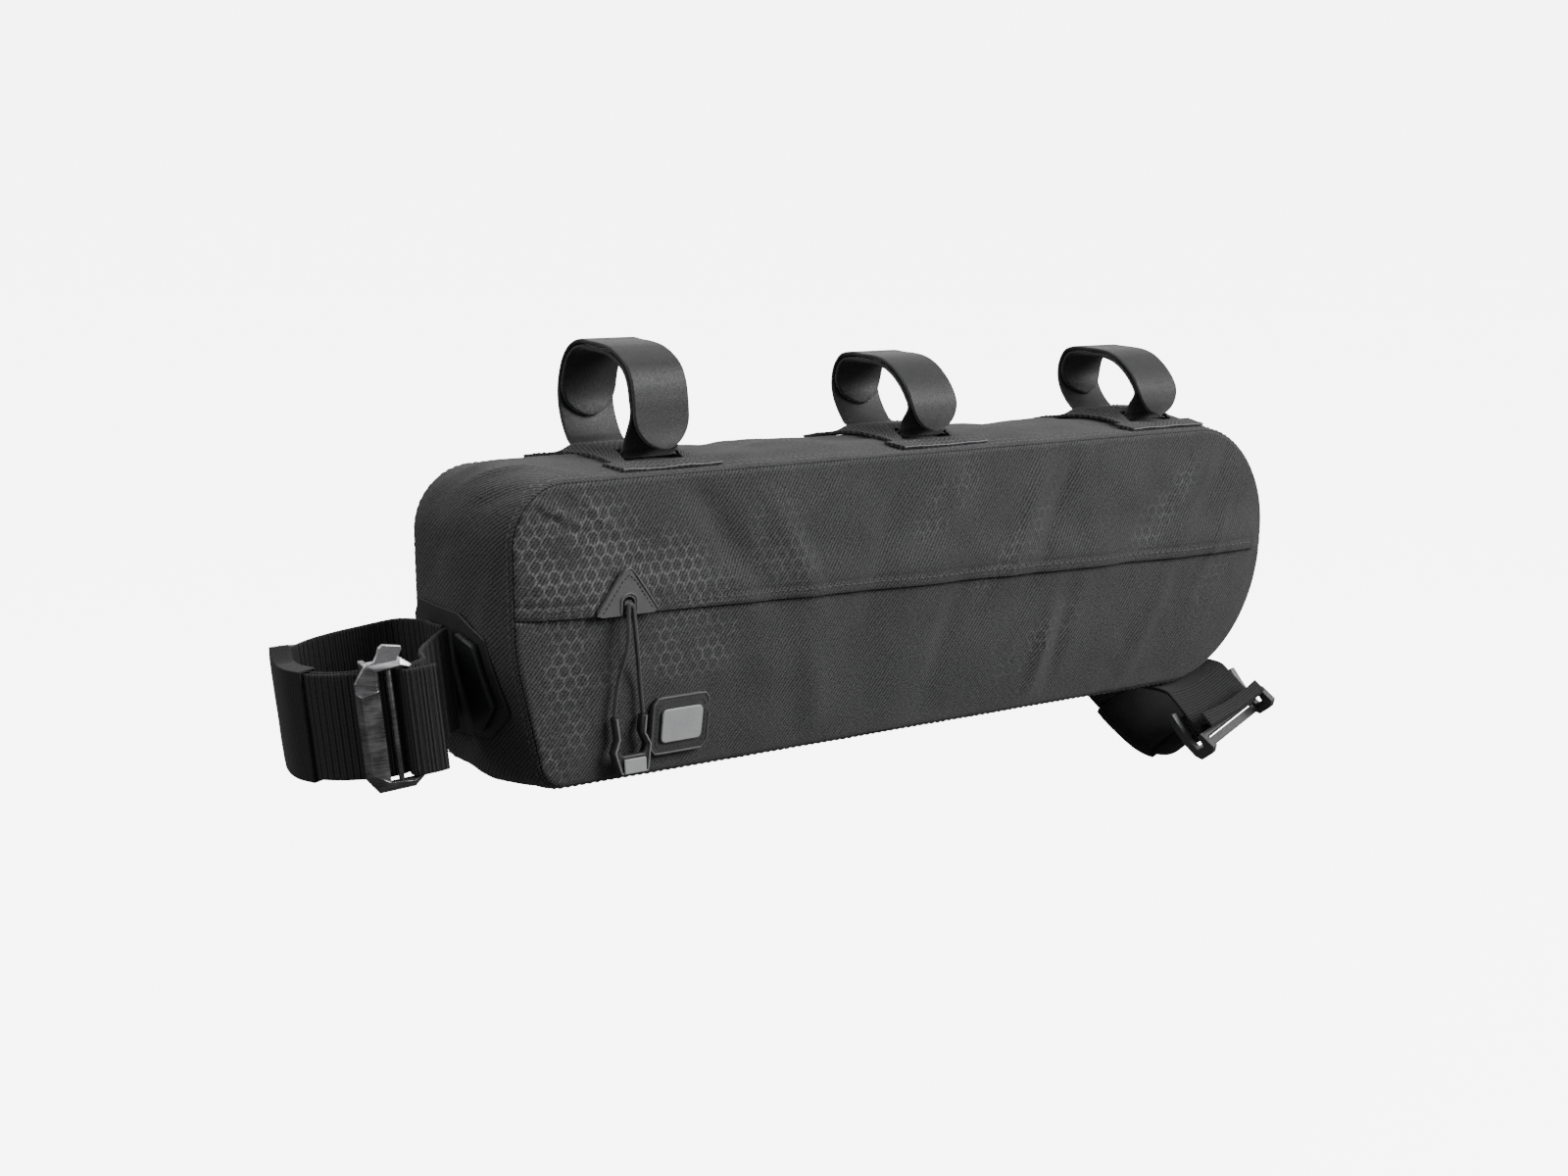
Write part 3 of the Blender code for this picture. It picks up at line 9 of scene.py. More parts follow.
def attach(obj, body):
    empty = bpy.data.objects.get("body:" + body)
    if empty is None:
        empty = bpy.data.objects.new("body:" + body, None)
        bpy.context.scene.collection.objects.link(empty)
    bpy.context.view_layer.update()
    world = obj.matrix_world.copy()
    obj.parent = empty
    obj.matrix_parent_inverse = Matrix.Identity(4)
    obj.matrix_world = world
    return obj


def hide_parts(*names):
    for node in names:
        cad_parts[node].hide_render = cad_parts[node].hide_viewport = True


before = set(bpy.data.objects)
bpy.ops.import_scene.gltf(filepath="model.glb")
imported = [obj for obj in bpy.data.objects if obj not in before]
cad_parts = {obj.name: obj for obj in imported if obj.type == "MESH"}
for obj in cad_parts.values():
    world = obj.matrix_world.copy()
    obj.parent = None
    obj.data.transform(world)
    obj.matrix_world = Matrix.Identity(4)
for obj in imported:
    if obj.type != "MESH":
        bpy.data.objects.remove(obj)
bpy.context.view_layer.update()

# The bag's sizes, as in the part's source, in metres
LENGTH = 0.405
HEIGHT = 0.1073
WIDTH = 0.062
WALL = 0.0014
GAP = 0.0003
HALF = WIDTH / 2
ORIGIN = Vector((0.2065, 0.0, 0.1271))

TOP_CROWN = 0.0038
BASE_CROWN = 0.003
TAIL_CROWN = 0.003
NOSE_CROWN = 0.005
SIDE_PILLOW = 0.0038
PILLOW_REACH = 0.040
CORNER_ROLL = 0.0024

NOSE_FOOT_RADIUS = 0.060
TAIL_FOOT, NOSE_FOOT, NOSE_TOP, TAIL_TOP = range(4)
SEAM_CORNERS = (
    (0.0321, -0.004, 0.010, 12),
    (1.0, -0.021, NOSE_FOOT_RADIUS, 32),
    (1.0, 1.0, 0.045, 26),
    (-0.0049, 1.0095, 0.022, 18),
    (0.0, 0.447, 0.080, 10),
)

# Dents and folds of the zip side: share of length, share of height, turn from upright in degrees, half length
# and half width as shares of the height, depth as a share of the fold depth
FOLD_DEPTH = 0.0022
SIDE_FOLDS = (
    (0.055, 0.86, -55, 0.30, 0.05, 0.7),
    (0.095, 0.80, -70, 0.26, 0.06, -0.6),
    (0.28, 0.72, 20, 0.35, 0.16, 0.5),
    (0.50, 0.70, 32, 0.42, 0.13, 0.8),
    (0.60, 0.30, 28, 0.36, 0.14, 0.7),
    (0.72, 0.62, 35, 0.40, 0.11, 0.8),
    (0.80, 0.70, 35, 0.34, 0.07, -0.8),
    (0.87, 0.66, 38, 0.36, 0.08, 0.6),
    (0.40, 0.22, 10, 0.30, 0.20, -0.5),
)
# Small creases that only the cloth shows, in the same columns
FINE_CREASES = (
    (0.040, 0.90, -62, 0.16, 0.018, 0.45),
    (0.062, 0.84, -66, 0.22, 0.020, -0.40),
    (0.085, 0.88, -50, 0.15, 0.016, 0.30),
    (0.115, 0.76, -75, 0.18, 0.020, 0.25),
    (0.845, 0.80, 40, 0.20, 0.024, -0.35),
    (0.905, 0.55, 30, 0.24, 0.026, 0.30),
    (0.66, 0.86, 48, 0.16, 0.022, 0.22),
    (0.35, 0.88, 62, 0.14, 0.020, 0.20),
    (0.235, 0.74, -38, 0.34, 0.060, -0.75),
    (0.310, 0.66, -30, 0.30, 0.050, 0.50),
    (0.430, 0.78, 25, 0.30, 0.060, -0.55),
    (0.615, 0.74, 30, 0.40, 0.045, 0.70),
    (0.655, 0.72, 30, 0.40, 0.040, -0.65),
    (0.640, 0.24, 14, 0.20, 0.030, 0.75),
    (0.668, 0.25, 14, 0.20, 0.028, -0.60),
    (0.800, 0.25, 30, 0.28, 0.050, 0.55),
    (0.905, 0.78, 40, 0.28, 0.045, -0.65),
    (0.330, 0.25, -10, 0.26, 0.070, 0.55),
    (0.500, 0.30, 22, 0.24, 0.050, -0.55),
)

ZIP_LINE = ((-0.01, 0.5664), (0.10, 0.5585), (0.42, 0.5305), (0.70, 0.513), (1.01, 0.4945))
FLAP_LAP = 0.0045
FLAP_RUN = 0.021
FLAP_LIFT = 0.0022

WEBBING_WIDTH = 0.037
WEBBING_WALL = 0.0018
LAYER = WEBBING_WALL + 0.0007
RIB_PITCH = 0.00115

TOP_STRAP_WIDTH = 0.025
TOP_STRAP_WALL = 0.0015
TOP_STRAP_LAYER = 0.0021
TOP_STRAP_TIP = 0.0125
TOP_LOOP_WIDTH = 0.0475
# name, place along the bag, height, whether it is one of the low loops
TOP_LOOPS = (
    ("tail", 0.0695, 0.0415, False),
    ("middle", 0.2065, 0.0320, True),
    ("nose", 0.3405, 0.0300, True),
)

# The outer turn of a top strap, from its far slot over the top to its near tip: share of half the loop's
# width and share of its height, first for the tall tail loop and then for the low ones
TOP_LOOP_ROUTE = (
    (0.66, 0.06, 0.64, 0.06),
    (0.84, 0.22, 0.80, 0.21),
    (0.95, 0.40, 0.95, 0.37),
    (0.97, 0.57, 1.03, 0.57),
    (0.91, 0.74, 1.00, 0.77),
    (0.76, 0.90, 0.87, 0.93),
    (0.48, 0.985, 0.62, 0.985),
    (0.12, 0.975, 0.28, 0.975),
    (-0.24, 0.955, -0.04, 0.965),
    (-0.57, 0.875, -0.34, 0.90),
    (-0.79, 0.76, -0.60, 0.765),
    (-0.89, 0.60, -0.80, 0.60),
    (-0.93, 0.43, -0.92, 0.42),
    (-0.96, 0.27, -0.95, 0.27),
    (-1.02, 0.10, -0.97, 0.10),
)
INNER_TURN_START, INNER_TURN_END = 0.27, 0.24

PATCH_LENGTH, PATCH_WIDTH, PATCH_WALL = 0.050, 0.054, 0.0012
PATCH_SLOT_NEAR, PATCH_SLOT_FAR, PATCH_WAIST = 0.0120, 0.0190, 0.0385
PATCH_LIFT = 0.0028

TAIL_TILT = math.radians(8)
TAIL_STRAP_HEIGHT = 0.037
TAIL_LOOP_REACH = 0.0615
TAIL_PATCH_WALL = 0.0012
TAIL_STRAP_ROUTE = (
    (0.085, 0.88),
    (0.17, 0.96),
    (0.31, 1.01),
    (0.47, 1.06),
    (0.64, 1.05),
    (0.78, 0.94),
    (0.89, 0.72),
    (0.965, 0.43),
    (1.00, 0.12),
    (0.985, -0.15),
    (0.925, -0.38),
    (0.84, -0.55),
)
TAIL_ANCHOR_ROUTE = (
    (0.095, -0.01),
    (0.18, -0.13),
    (0.29, -0.30),
    (0.38, -0.46),
    (0.435, -0.63),
    (0.475, -0.79),
)
TAIL_BUCKLE_PLACE = (0.732, -0.887)
TAIL_BUCKLE_TURN = math.radians(16)

NOSE_TILT = math.radians(21.7)
NOSE_SEAT_SHIFT = 0.0079
NOSE_LOOP_DROP = 0.0318
NOSE_STRAP_ROUTE = (
    (0.72, 0.17),
    (0.60, 0.28),
    (0.46, 0.40),
    (0.28, 0.54),
    (0.08, 0.73),
    (-0.12, 0.89),
    (-0.36, 1.00),
    (-0.60, 1.02),
    (-0.84, 0.965),
    (-1.05, 0.83),
)
NOSE_ANCHOR_ROUTE = ((-1.02, 0.12), (-1.17, 0.215))
NOSE_SEWN_EDGES = (0.60, 0.25, -0.30, -0.62)
NOSE_SETTLE = 0.016
NOSE_BUCKLE_LENGTH = 0.025
NOSE_BUCKLE_PLACE = (-1.632, 0.487)
NOSE_BUCKLE_TURN = math.radians(43.8)
NOSE_STRAP_END = ((-0.20, -0.53), (-0.068, -0.42), (-0.068, -0.33), (-0.16, -0.252), (-0.38, -0.222))

# The tail buckle's frame in millimetres along the strap and across it: its outer edge, the ridge of its
# facets with the ridge's height, and its window
BUCKLE_FRAME = (
    (-11.8, -17.0, -10.4, -15.0, 3.0, -4.0, -18.2),
    (-11.8, 12.6, -10.4, 12.0, 3.0, -4.0, 11.6),
    (-11.8, 16.0, -5.0, 12.8, 2.9, -4.0, 13.4),
    (-7.0, 22.5, -4.6, 19.4, 2.3, -3.6, 19.2),
    (4.5, 22.5, 4.4, 20.2, 2.0, 5.4, 19.2),
    (8.2, 19.4, 7.0, 18.8, 1.4, 6.0, 18.6),
    (8.2, -19.4, 7.0, -18.8, 1.4, 6.0, -18.6),
    (4.5, -22.5, 4.2, -20.2, 2.0, 5.4, -19.2),
    (-8.0, -22.5, -4.8, -18.6, 2.4, -3.6, -19.2),
)
BUCKLE_HOOK = (
    (-7.6, 21.6),
    (-4.6, 22.6),
    (-3.4, 24.6),
    (-2.6, 27.2),
    (-1.2, 28.2),
    (4.9, 26.6),
    (5.2, 25.4),
    (3.2, 21.6),
)
# The thin bar's section, along the strap and out from it, and the two legs with the rear bar, across the
# strap and out from it
BUCKLE_BAR = ((-0.9, -0.4), (0.9, -0.4), (0.9, 0.8), (0.2, 1.4), (-0.9, 1.0))
BUCKLE_LEGS = (
    (-22.1, 0.0),
    (-22.1, -6.2),
    (22.1, -6.2),
    (22.1, 0.0),
    (19.4, 0.0),
    (19.4, -4.6),
    (-19.4, -4.6),
    (-19.4, 0.0),
)
BUCKLE_BACK, BUCKLE_RIM = -0.0012, 0.0004

TAIL_RIB, NOSE_RIB = 0.00022, 0.00020
# How far the tail strap's fold lies along the buckle and behind it, and the folds' radii
TAIL_FOLD_ALONG, TAIL_FOLD_BEHIND, TAIL_FOLD_RADIUS = 0.0016, 0.0054, 0.0027
ANCHOR_FOLD_ALONG, ANCHOR_FOLD_RADIUS = 0.0071, 0.0030
TAIL_SEWN_PLACES = (0.0042, 0.011, 0.0185)
NOSE_FOLD_SPREAD = 0.0009
SLEEVE_WALL = 0.0009
KEEPER_EAR = 0.0034

ZIP_PATCH_CENTRE, ZIP_PATCH_WALL = 0.0428, 0.0014
BADGE_CENTRE, BADGE_WALL = (0.0690, 0.0172), 0.0018
RIM_RADIUS = 0.00042
# Lines on the zip's patch, from the middle of its foot in millimetres: the right half of its rim, of the rim
# round its slot and of its stitching, from the foot up
ZIP_PATCH_RIM = ((13.3, 0.6), (8.6, 6.8), (3.8, 12.9), (1.5, 15.8), (0.0, 16.5))
SLOT_RIM = ((3.4, 0.5), (3.4, 4.0), (3.0, 6.4), (0.0, 7.7))
ZIP_PATCH_SEAM = ((11.2, 1.0), (3.0, 11.8), (0.0, 14.3))
# The pull's raised rim, a thin tube in pale rubber that paints the highlight along the pull's edges: share of
# half its width, share of its height
PULL_CENTRE, PULL_FOOT, PULL_TOP, PULL_WIDTH = 0.0452, 0.0022, 0.0235, 0.0172
PULL_FRONT = 0.0046
PULL_RIM = (
    (-0.86, 0.99),
    (-0.70, 0.63),
    (-0.90, 0.41),
    (-0.56, 0.045),
    (0.78, 0.045),
    (0.90, 0.49),
    (0.60, 0.69),
    (0.68, 0.99),
)

# The photograph's camera: azimuth, elevation and roll in degrees, and its place
CAMERA_TURNS = (-41.403, 9.377, 1.033)
CAMERA_PLACE = (-0.484015, -0.717745, 0.212099)
CAMERA_LENS = 57.31


# Outlines and curves


def rounded(corners):
    """The arcs of a closed outline, one list of points for each corner (first, second, radius, steps)."""
    arcs = []
    for index, (first, second, radius, steps) in enumerate(corners):
        corner = Vector((first, second))
        before = (Vector(corners[index - 1][:2]) - corner).normalized()
        after = (Vector(corners[(index + 1) % len(corners)][:2]) - corner).normalized()
        half = math.acos(max(-1.0, min(1.0, before.dot(after)))) / 2
        centre = corner + (before + after).normalized() * radius / math.sin(half)
        start = corner + before * radius / math.tan(half) - centre
        turn = start.angle_signed(corner + after * radius / math.tan(half) - centre)
        arc = []
        for step in range(steps + 1):
            angle = -turn * step / steps
            c, s = math.cos(angle), math.sin(angle)
            arc.append(centre + Vector((c * start.x - s * start.y, s * start.x + c * start.y)))
        arcs.append(arc)
    return arcs


def lengths(line):
    total = [0.0]
    for first, second in zip(line, line[1:]):
        total.append(total[-1] + (second - first).length)
    return total


def even_line(line, step):
    """The line with points at even steps."""
    total = lengths(line)
    count = max(1, round(total[-1] / step))
    made, index = [], 1
    for part in range(count + 1):
        wanted = total[-1] * part / count
        while index < len(line) - 1 and total[index] < wanted:
            index += 1
        span = max(1e-12, total[index] - total[index - 1])
        made.append(line[index - 1].lerp(line[index], (wanted - total[index - 1]) / span))
    return made


def point_at(line, share):
    total = lengths(line)
    wanted = share * total[-1]
    for index in range(1, len(line)):
        if total[index] >= wanted or index == len(line) - 1:
            span = max(1e-12, total[index] - total[index - 1])
            return line[index - 1].lerp(line[index], (wanted - total[index - 1]) / span)


def share_at_height(line, height):
    total = lengths(line)
    for index in range(1, len(line)):
        low, high = line[index - 1].y, line[index].y
        if high >= height:
            span = total[index] - total[index - 1]
            return (total[index - 1] + span * (height - low) / (high - low)) / total[-1]
    return 1.0


def smooth_curve(points, step):
    """A smooth curve through the points, in even steps."""
    ends = [points[0] * 2 - points[1]] + list(points) + [points[-1] * 2 - points[-2]]
    dense = []
    for index in range(1, len(ends) - 2):
        before, start, end, after = ends[index - 1 : index + 3]
        for part in range(16):
            t = part / 16
            dense.append(
                0.5
                * (
                    2 * start
                    + (end - before) * t
                    + (2 * before - 5 * start + 4 * end - after) * t**2
                    + (3 * start - before - 3 * end + after) * t**3
                )
            )
    return even_line(dense + [points[-1]], step)


def beside(line, distance):
    moved = []
    for index, point in enumerate(line):
        along = line[min(index + 1, len(line) - 1)] - line[max(index - 1, 0)]
        moved.append(point + Vector((-along.y, along.x)).normalized() * distance)
    return moved


def turn_round(centre, radius, start, sweep, steps):
    angles = (start + sweep * step / steps for step in range(steps + 1))
    return [centre + Vector((math.cos(angle), math.sin(angle))) * radius for angle in angles]


def table_value(rows, share):
    for (low, first), (high, second) in zip(rows, rows[1:]):
        if share <= high:
            return first + (second - first) * (share - low) / (high - low)
    return rows[-1][1]


def ease(value):
    value = max(0.0, min(1.0, value))
    return value * value * (3 - 2 * value)


# The bag's faces

ARCS = rounded([(a * LENGTH, b * HEIGHT, radius, steps) for a, b, radius, steps in SEAM_CORNERS])


def seam_between(first, last):
    line = ARCS[first][len(ARCS[first]) // 2 :]
    corner = (first + 1) % len(ARCS)
    while corner != last:
        line = line + ARCS[corner]
        corner = (corner + 1) % len(ARCS)
    return line + ARCS[last][: len(ARCS[last]) // 2 + 1]


# The top seam steps up a little where the tail's top strap starts
for line in ARCS:
    for spot in line:
        spot.y -= 0.0011 * (1 - ease((spot.x - 0.052) / 0.012)) * ease((spot.y / HEIGHT - 0.70) / 0.25)

BASE_SEAM = seam_between(TAIL_FOOT, NOSE_FOOT)
NOSE_SEAM = seam_between(NOSE_FOOT, NOSE_TOP)
TOP_SEAM = seam_between(NOSE_TOP, TAIL_TOP)[::-1]
TAIL_SEAM = seam_between(TAIL_TOP, TAIL_FOOT)[::-1]
SEAM = [point for arc in ARCS for point in arc]
SEAM_RING = even_line(SEAM + SEAM[:1], 0.0022)[:-1]


def crown_at(normal):
    upright = TOP_CROWN if normal.y > 0 else BASE_CROWN
    level = NOSE_CROWN if normal.x > 0 else TAIL_CROWN
    return upright * normal.y**2 + level * normal.x**2


def bow(across):
    return 1 - (across / HALF) ** 2


def top_height(along, across):
    low, high = ARCS[NOSE_TOP][-1], ARCS[TAIL_TOP][0]
    share = (along - high.x) / (low.x - high.x)
    return high.y + (low.y - high.y) * share + TOP_CROWN * bow(across)


def tail_place(height, across):
    return point_at(TAIL_SEAM, share_at_height(TAIL_SEAM, height)).x - TAIL_CROWN * bow(across)


def flap_edge(along):
    return HEIGHT * table_value(ZIP_LINE, along / LENGTH)


SEAM_EDGES = []
for start, end in zip(SEAM, SEAM[1:] + SEAM[:1]):
    if (end - start).length > 1e-7:
        SEAM_EDGES.append((start.x, start.y, end.x - start.x, end.y - start.y, (end - start).length_squared))


@lru_cache(maxsize=None)
def nearest_seam(along, up):
    """The distance to the seam, and the way in from it."""
    best, way = LENGTH, (0.0, 1.0)
    for x, y, run, rise, square in SEAM_EDGES:
        right, above = along - x, up - y
        share = max(0.0, min(1.0, (right * run + above * rise) / square))
        gap = math.hypot(right - run * share, above - rise * share)
        if gap < best:
            best, way = gap, (-rise, run)
    return best, Vector(way).normalized()


def pillow(distance):
    return SIDE_PILLOW * math.sin(math.pi / 2 * min(1.0, distance / PILLOW_REACH))


def fold_height(along, up, rows):
    height = 0.0
    for row_along, row_up, turn, half_length, half_width, depth in rows:
        angle = math.radians(turn)
        right = along - row_along * LENGTH
        rise = up - row_up * HEIGHT
        lengthwise = (right * math.sin(angle) + rise * math.cos(angle)) / (half_length * HEIGHT)
        sideways = (right * math.cos(angle) - rise * math.sin(angle)) / (half_width * HEIGHT)
        if abs(lengthwise) < 3 and abs(sideways) < 3:
            height += depth * math.exp(-(lengthwise**2) - sideways**2)
    return FOLD_DEPTH * height


def cloth_waves(along, up, seed):
    """Slack in the cloth: long soft waves with a little puckering."""
    soft = noise.noise(Vector((along * 22 + seed, up * 30, seed)))
    small = noise.noise(Vector((along * 75 + up * 40, up * 60 - along * 20, seed + 7)))
    return 0.00105 * soft + 0.00028 * small


def side_out(along, up, fine=True):
    """How far the zip side's face lies out from the seam."""
    distance, _ = nearest_seam(along, up)
    inside = min(1.0, distance / PILLOW_REACH)
    out = pillow(distance) + fold_height(along, up, SIDE_FOLDS) * inside
    if fine:
        near = min(1.0, distance / 0.009)
        out += (1.4 * fold_height(along, up, FINE_CREASES) + cloth_waves(along, up, 3.0)) * near
    return out


def side_place(along, up, out=0.0):
    return Vector((along, -HALF - side_out(along, up) - out, up))


def rolled(along, up):
    """A side panel's edge rolls in to the seam: its point in the panel, and how far it drops."""
    distance, way = nearest_seam(along, up)
    if distance >= CORNER_ROLL:
        return along, up, 0.0
    angle = math.pi / 4 * (1 - distance / CORNER_ROLL)
    inset = CORNER_ROLL * (1 - math.sin(angle))
    moved = Vector((along, up)) + way * (inset - distance)
    return moved.x, moved.y, CORNER_ROLL * (1 - math.cos(angle))


def coons(low, high, left, right):
    """A patch between four lines, each given by its share."""

    def inside(u, v):
        corners = low(0.0) * (1 - u) * (1 - v) + low(1.0) * u * (1 - v)
        corners = corners + high(0.0) * (1 - u) * v + high(1.0) * u * v
        return low(u) * (1 - v) + high(u) * v + left(v) * (1 - u) + right(v) * u - corners

    return inside


def seam_part(line, low, high):
    start, end = share_at_height(line, low), share_at_height(line, high)
    return lambda share: point_at(line, start + (end - start) * share)


# Making pieces


def piece(name, shape, material, slot_name, replaced=(), sharp=40):
    """A finished object, with its place in its mesh, riding on the bag."""
    for point in shape.verts:
        point.co -= ORIGIN
    mesh = bpy.data.meshes.new(name)
    shape.to_mesh(mesh)
    shape.free()
    mesh.materials.append(material)
    mesh.shade_smooth()
    mesh.set_sharp_from_angle(angle=math.radians(sharp))
    made = bpy.data.objects.new(name, mesh)
    bpy.context.scene.collection.objects.link(made)
    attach(made, "root")
    if replaced:
        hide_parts(*replaced)
    return made


def grid(columns, rows, place, cloth=None):
    """A grid with its points at place(u, v) and a map of the cloth, cloth(u, v), in metres."""
    shape = bmesh.new()
    bmesh.ops.create_grid(shape, x_segments=columns, y_segments=rows, size=0.5)
    layer = shape.loops.layers.uv.new("cloth")
    for face in shape.faces:
        for loop in face.loops:
            u, v = loop.vert.co.x + 0.5, loop.vert.co.y + 0.5
            loop[layer].uv = cloth(u, v) if cloth else (u, v)
    for point in shape.verts:
        point.co = place(point.co.x + 0.5, point.co.y + 0.5)
    return shape


def soften(made, width, segments, degrees):
    """Rounds a piece's edges that are sharper than an angle."""
    edge = made.modifiers.new("Edges", "BEVEL")
    edge.width = width
    edge.segments = segments
    edge.limit_method = "ANGLE"
    edge.angle_limit = math.radians(degrees)


def walled(made, wall, rim=None, side=-1.0):
    """Gives a sheet its wall, inward unless side is 1, and rounds its rim."""
    solid = made.modifiers.new("Wall", "SOLIDIFY")
    solid.thickness = wall
    solid.offset = side
    solid.use_even_offset = False
    if rim:
        soften(made, rim, 2, 50)


def closed(shape):
    """Joins a rolled grid along its edges and closes its ends."""
    bmesh.ops.remove_doubles(shape, verts=shape.verts, dist=1e-7)
    bmesh.ops.holes_fill(shape, edges=[item for item in shape.edges if item.is_boundary], sides=0)
    bmesh.ops.recalc_face_normals(shape, faces=shape.faces)
    return shape


# Shares of a strap's half width where its cross-section has points, closer at the edge
EDGE_MARKS = (1.0, 0.99, 0.965, 0.93, 0.86, 0.66, 0.44, 0.22, 0.0)
STITCH_SINK = 0.00005


def band(name, route, half_at, wall, place, material, slot_name, replaced=(), rib=0.0, pitch=RIB_PITCH):
    """A flat strap swept along a route, with place(first, second, across). half_at(distance, total) is its
    half width; rib is the height of its cross ribs."""
    total = lengths(route)
    count = len(route) - 1
    shares = list(EDGE_MARKS) + [-mark for mark in EDGE_MARKS[-2::-1]]
    ring = [(share, 1) for share in shares] + [(share, -1) for share in reversed(shares)]
    normals = []
    for index in range(count + 1):
        along = route[min(index + 1, count)] - route[max(index - 1, 0)]
        normals.append(Vector((-along.y, along.x)).normalized())

    def put(u, v):
        index = round(u * count)
        share, side = ring[round(v * len(ring)) % len(ring)]
        half = half_at(total[index], total[-1])
        inset = min(1.0, (1 - abs(share)) * half / (0.55 * wall))
        height = wall / 2 * (0.25 + 0.75 * math.sqrt(1 - (1 - inset) ** 2))
        if rib:
            angle = 2 * math.pi * total[index] / pitch
            height += rib * (0.6 * math.cos(angle) + 0.4 * math.cos(2 * angle) - 0.8) * inset
        spot = route[index] + normals[index] * height * side
        return place(spot.x, spot.y, share * half)

    def cloth(u, v):
        share, side = ring[round(v * len(ring)) % len(ring)]
        return (total[round(u * count)], share * half_at(total[-1] / 2, total[-1]) + 0.1 * side)

    piece(name, closed(grid(count, len(ring), put, cloth)), material, slot_name, replaced, 60)


def straight(half):
    return lambda distance, total: half


def tongue(half, tip):
    """The half width of a strap with both ends rounded."""

    def at(distance, total):
        from_end = min(distance, total - distance)
        if from_end >= tip:
            return half
        return half * math.sqrt(max(0.02, 1 - (1 - from_end / tip) ** 2))

    return at


def sleeve(name, route, inner, wall, half, place, ear, material, slot_name, replaced):
    """A band sewn round the layers of a strap. ear lifts its upper edge to a point at the route's start."""
    rows = 14
    near, far = beside(route, -inner), beside(route, inner)
    count = len(route) - 1

    def put(u, v):
        index = round(u * count)
        side = round(v * 2 * (rows + 1)) % (2 * (rows + 1))
        line = far if side <= rows else near
        share = side / rows if side <= rows else 2 + (1 - side) / rows
        height = (half + GAP) * (2 * share - 1)
        height += ear * max(0.0, share) ** 4 * max(0.0, 1 - abs(index / count - 0.34) / 0.30) ** 1.5
        soft = 0.0004 * noise.noise(Vector((index / count * 3, share * 4, ear * 100)))
        return place(line[index].x, line[index].y + soft, height)

    def cloth(u, v):
        return (lengths(route)[round(u * count)], v * 4 * half)

    shape = grid(count, 2 * (rows + 1), put, cloth)
    bmesh.ops.remove_doubles(shape, verts=shape.verts, dist=1e-7)
    walled(piece(name, shape, material, slot_name, replaced, 70), wall, 0.0003, 1.0)


def stitches(name, path, material, slot_name, length=0.0022, gap=0.0010, radius=0.00027):
    """A row of thread stitches along a path of (point, outward) pairs."""
    points = [point for point, _ in path]
    total = lengths(points)
    shape = bmesh.new()
    pitch = length + gap
    for number in range(int(total[-1] / pitch)):
        middle = (number + 0.5) * pitch
        index = 1
        while index < len(points) - 1 and total[index] < middle:
            index += 1
        span = max(1e-9, total[index] - total[index - 1])
        share = (middle - total[index - 1]) / span
        spot = points[index - 1].lerp(points[index], share)
        along = (points[index] - points[index - 1]).normalized()
        out = path[index - 1][1].lerp(path[index][1], share).normalized()
        across = out.cross(along).normalized()
        out = along.cross(across)
        turn = Matrix((along, across, out)).transposed().to_4x4()
        size = Matrix.Diagonal((length / 2, radius, radius, 1.0))
        move = Matrix.Translation(spot - out * STITCH_SINK)
        lying = move @ turn @ size @ Matrix.Rotation(math.pi / 2, 4, "Y")
        bmesh.ops.create_uvsphere(shape, u_segments=6, v_segments=5, radius=1.0, matrix=lying)
    piece(name, shape, material, slot_name)


def pushed(outline, place, low, high):
    """A solid made by pushing an outline from low to high along place's third direction."""
    shape = bmesh.new()
    rim = [shape.verts.new((point.x, point.y, low)) for point in outline]
    face = shape.faces.new(rim)
    moved = bmesh.ops.extrude_face_region(shape, geom=[face])
    tops = [item for item in moved["geom"] if isinstance(item, bmesh.types.BMVert)]
    bmesh.ops.translate(shape, verts=tops, vec=(0.0, 0.0, high - low))
    for point in shape.verts:
        point.co = place(*point.co)
    bmesh.ops.recalc_face_normals(shape, faces=shape.faces)
    return shape


def refined(node, bevel, material, slot_name):
    """A node's own shape with its edges rounded."""
    shape = bmesh.new()
    shape.from_mesh(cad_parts[node].data)
    bmesh.ops.remove_doubles(shape, verts=shape.verts, dist=2e-6)
    bmesh.ops.dissolve_limit(shape, verts=shape.verts, edges=shape.edges, angle_limit=math.radians(1.0))
    for point in shape.verts:
        point.co += ORIGIN
    soften(piece(node + "_shape", shape, material, slot_name, (node,)), bevel, 2, 35)


def tube(name, path, radius, sides, material):
    """A round cord along a path, with a map for its braid."""
    count = len(path)
    total = lengths(path)
    ways = [(path[min(i + 1, count - 1)] - path[max(i - 1, 0)]).normalized() for i in range(count)]
    normal = ways[0].orthogonal().normalized()
    normals = []
    for way in ways:
        normal = (normal - way * normal.dot(way)).normalized()
        normals.append(normal)

    def put(u, v):
        index = min(count - 1, round(u * (count - 1)))
        angle = 2 * math.pi * (round(v * sides) % sides) / sides
        side = ways[index].cross(normals[index])
        return path[index] + (normals[index] * math.cos(angle) + side * math.sin(angle)) * radius

    def cloth(u, v):
        return (total[min(count - 1, round(u * (count - 1)))], v * 2 * math.pi * radius)

    piece(name, closed(grid(count - 1, sides, put, cloth)), material, "patch_rubber", sharp=60)


# Materials


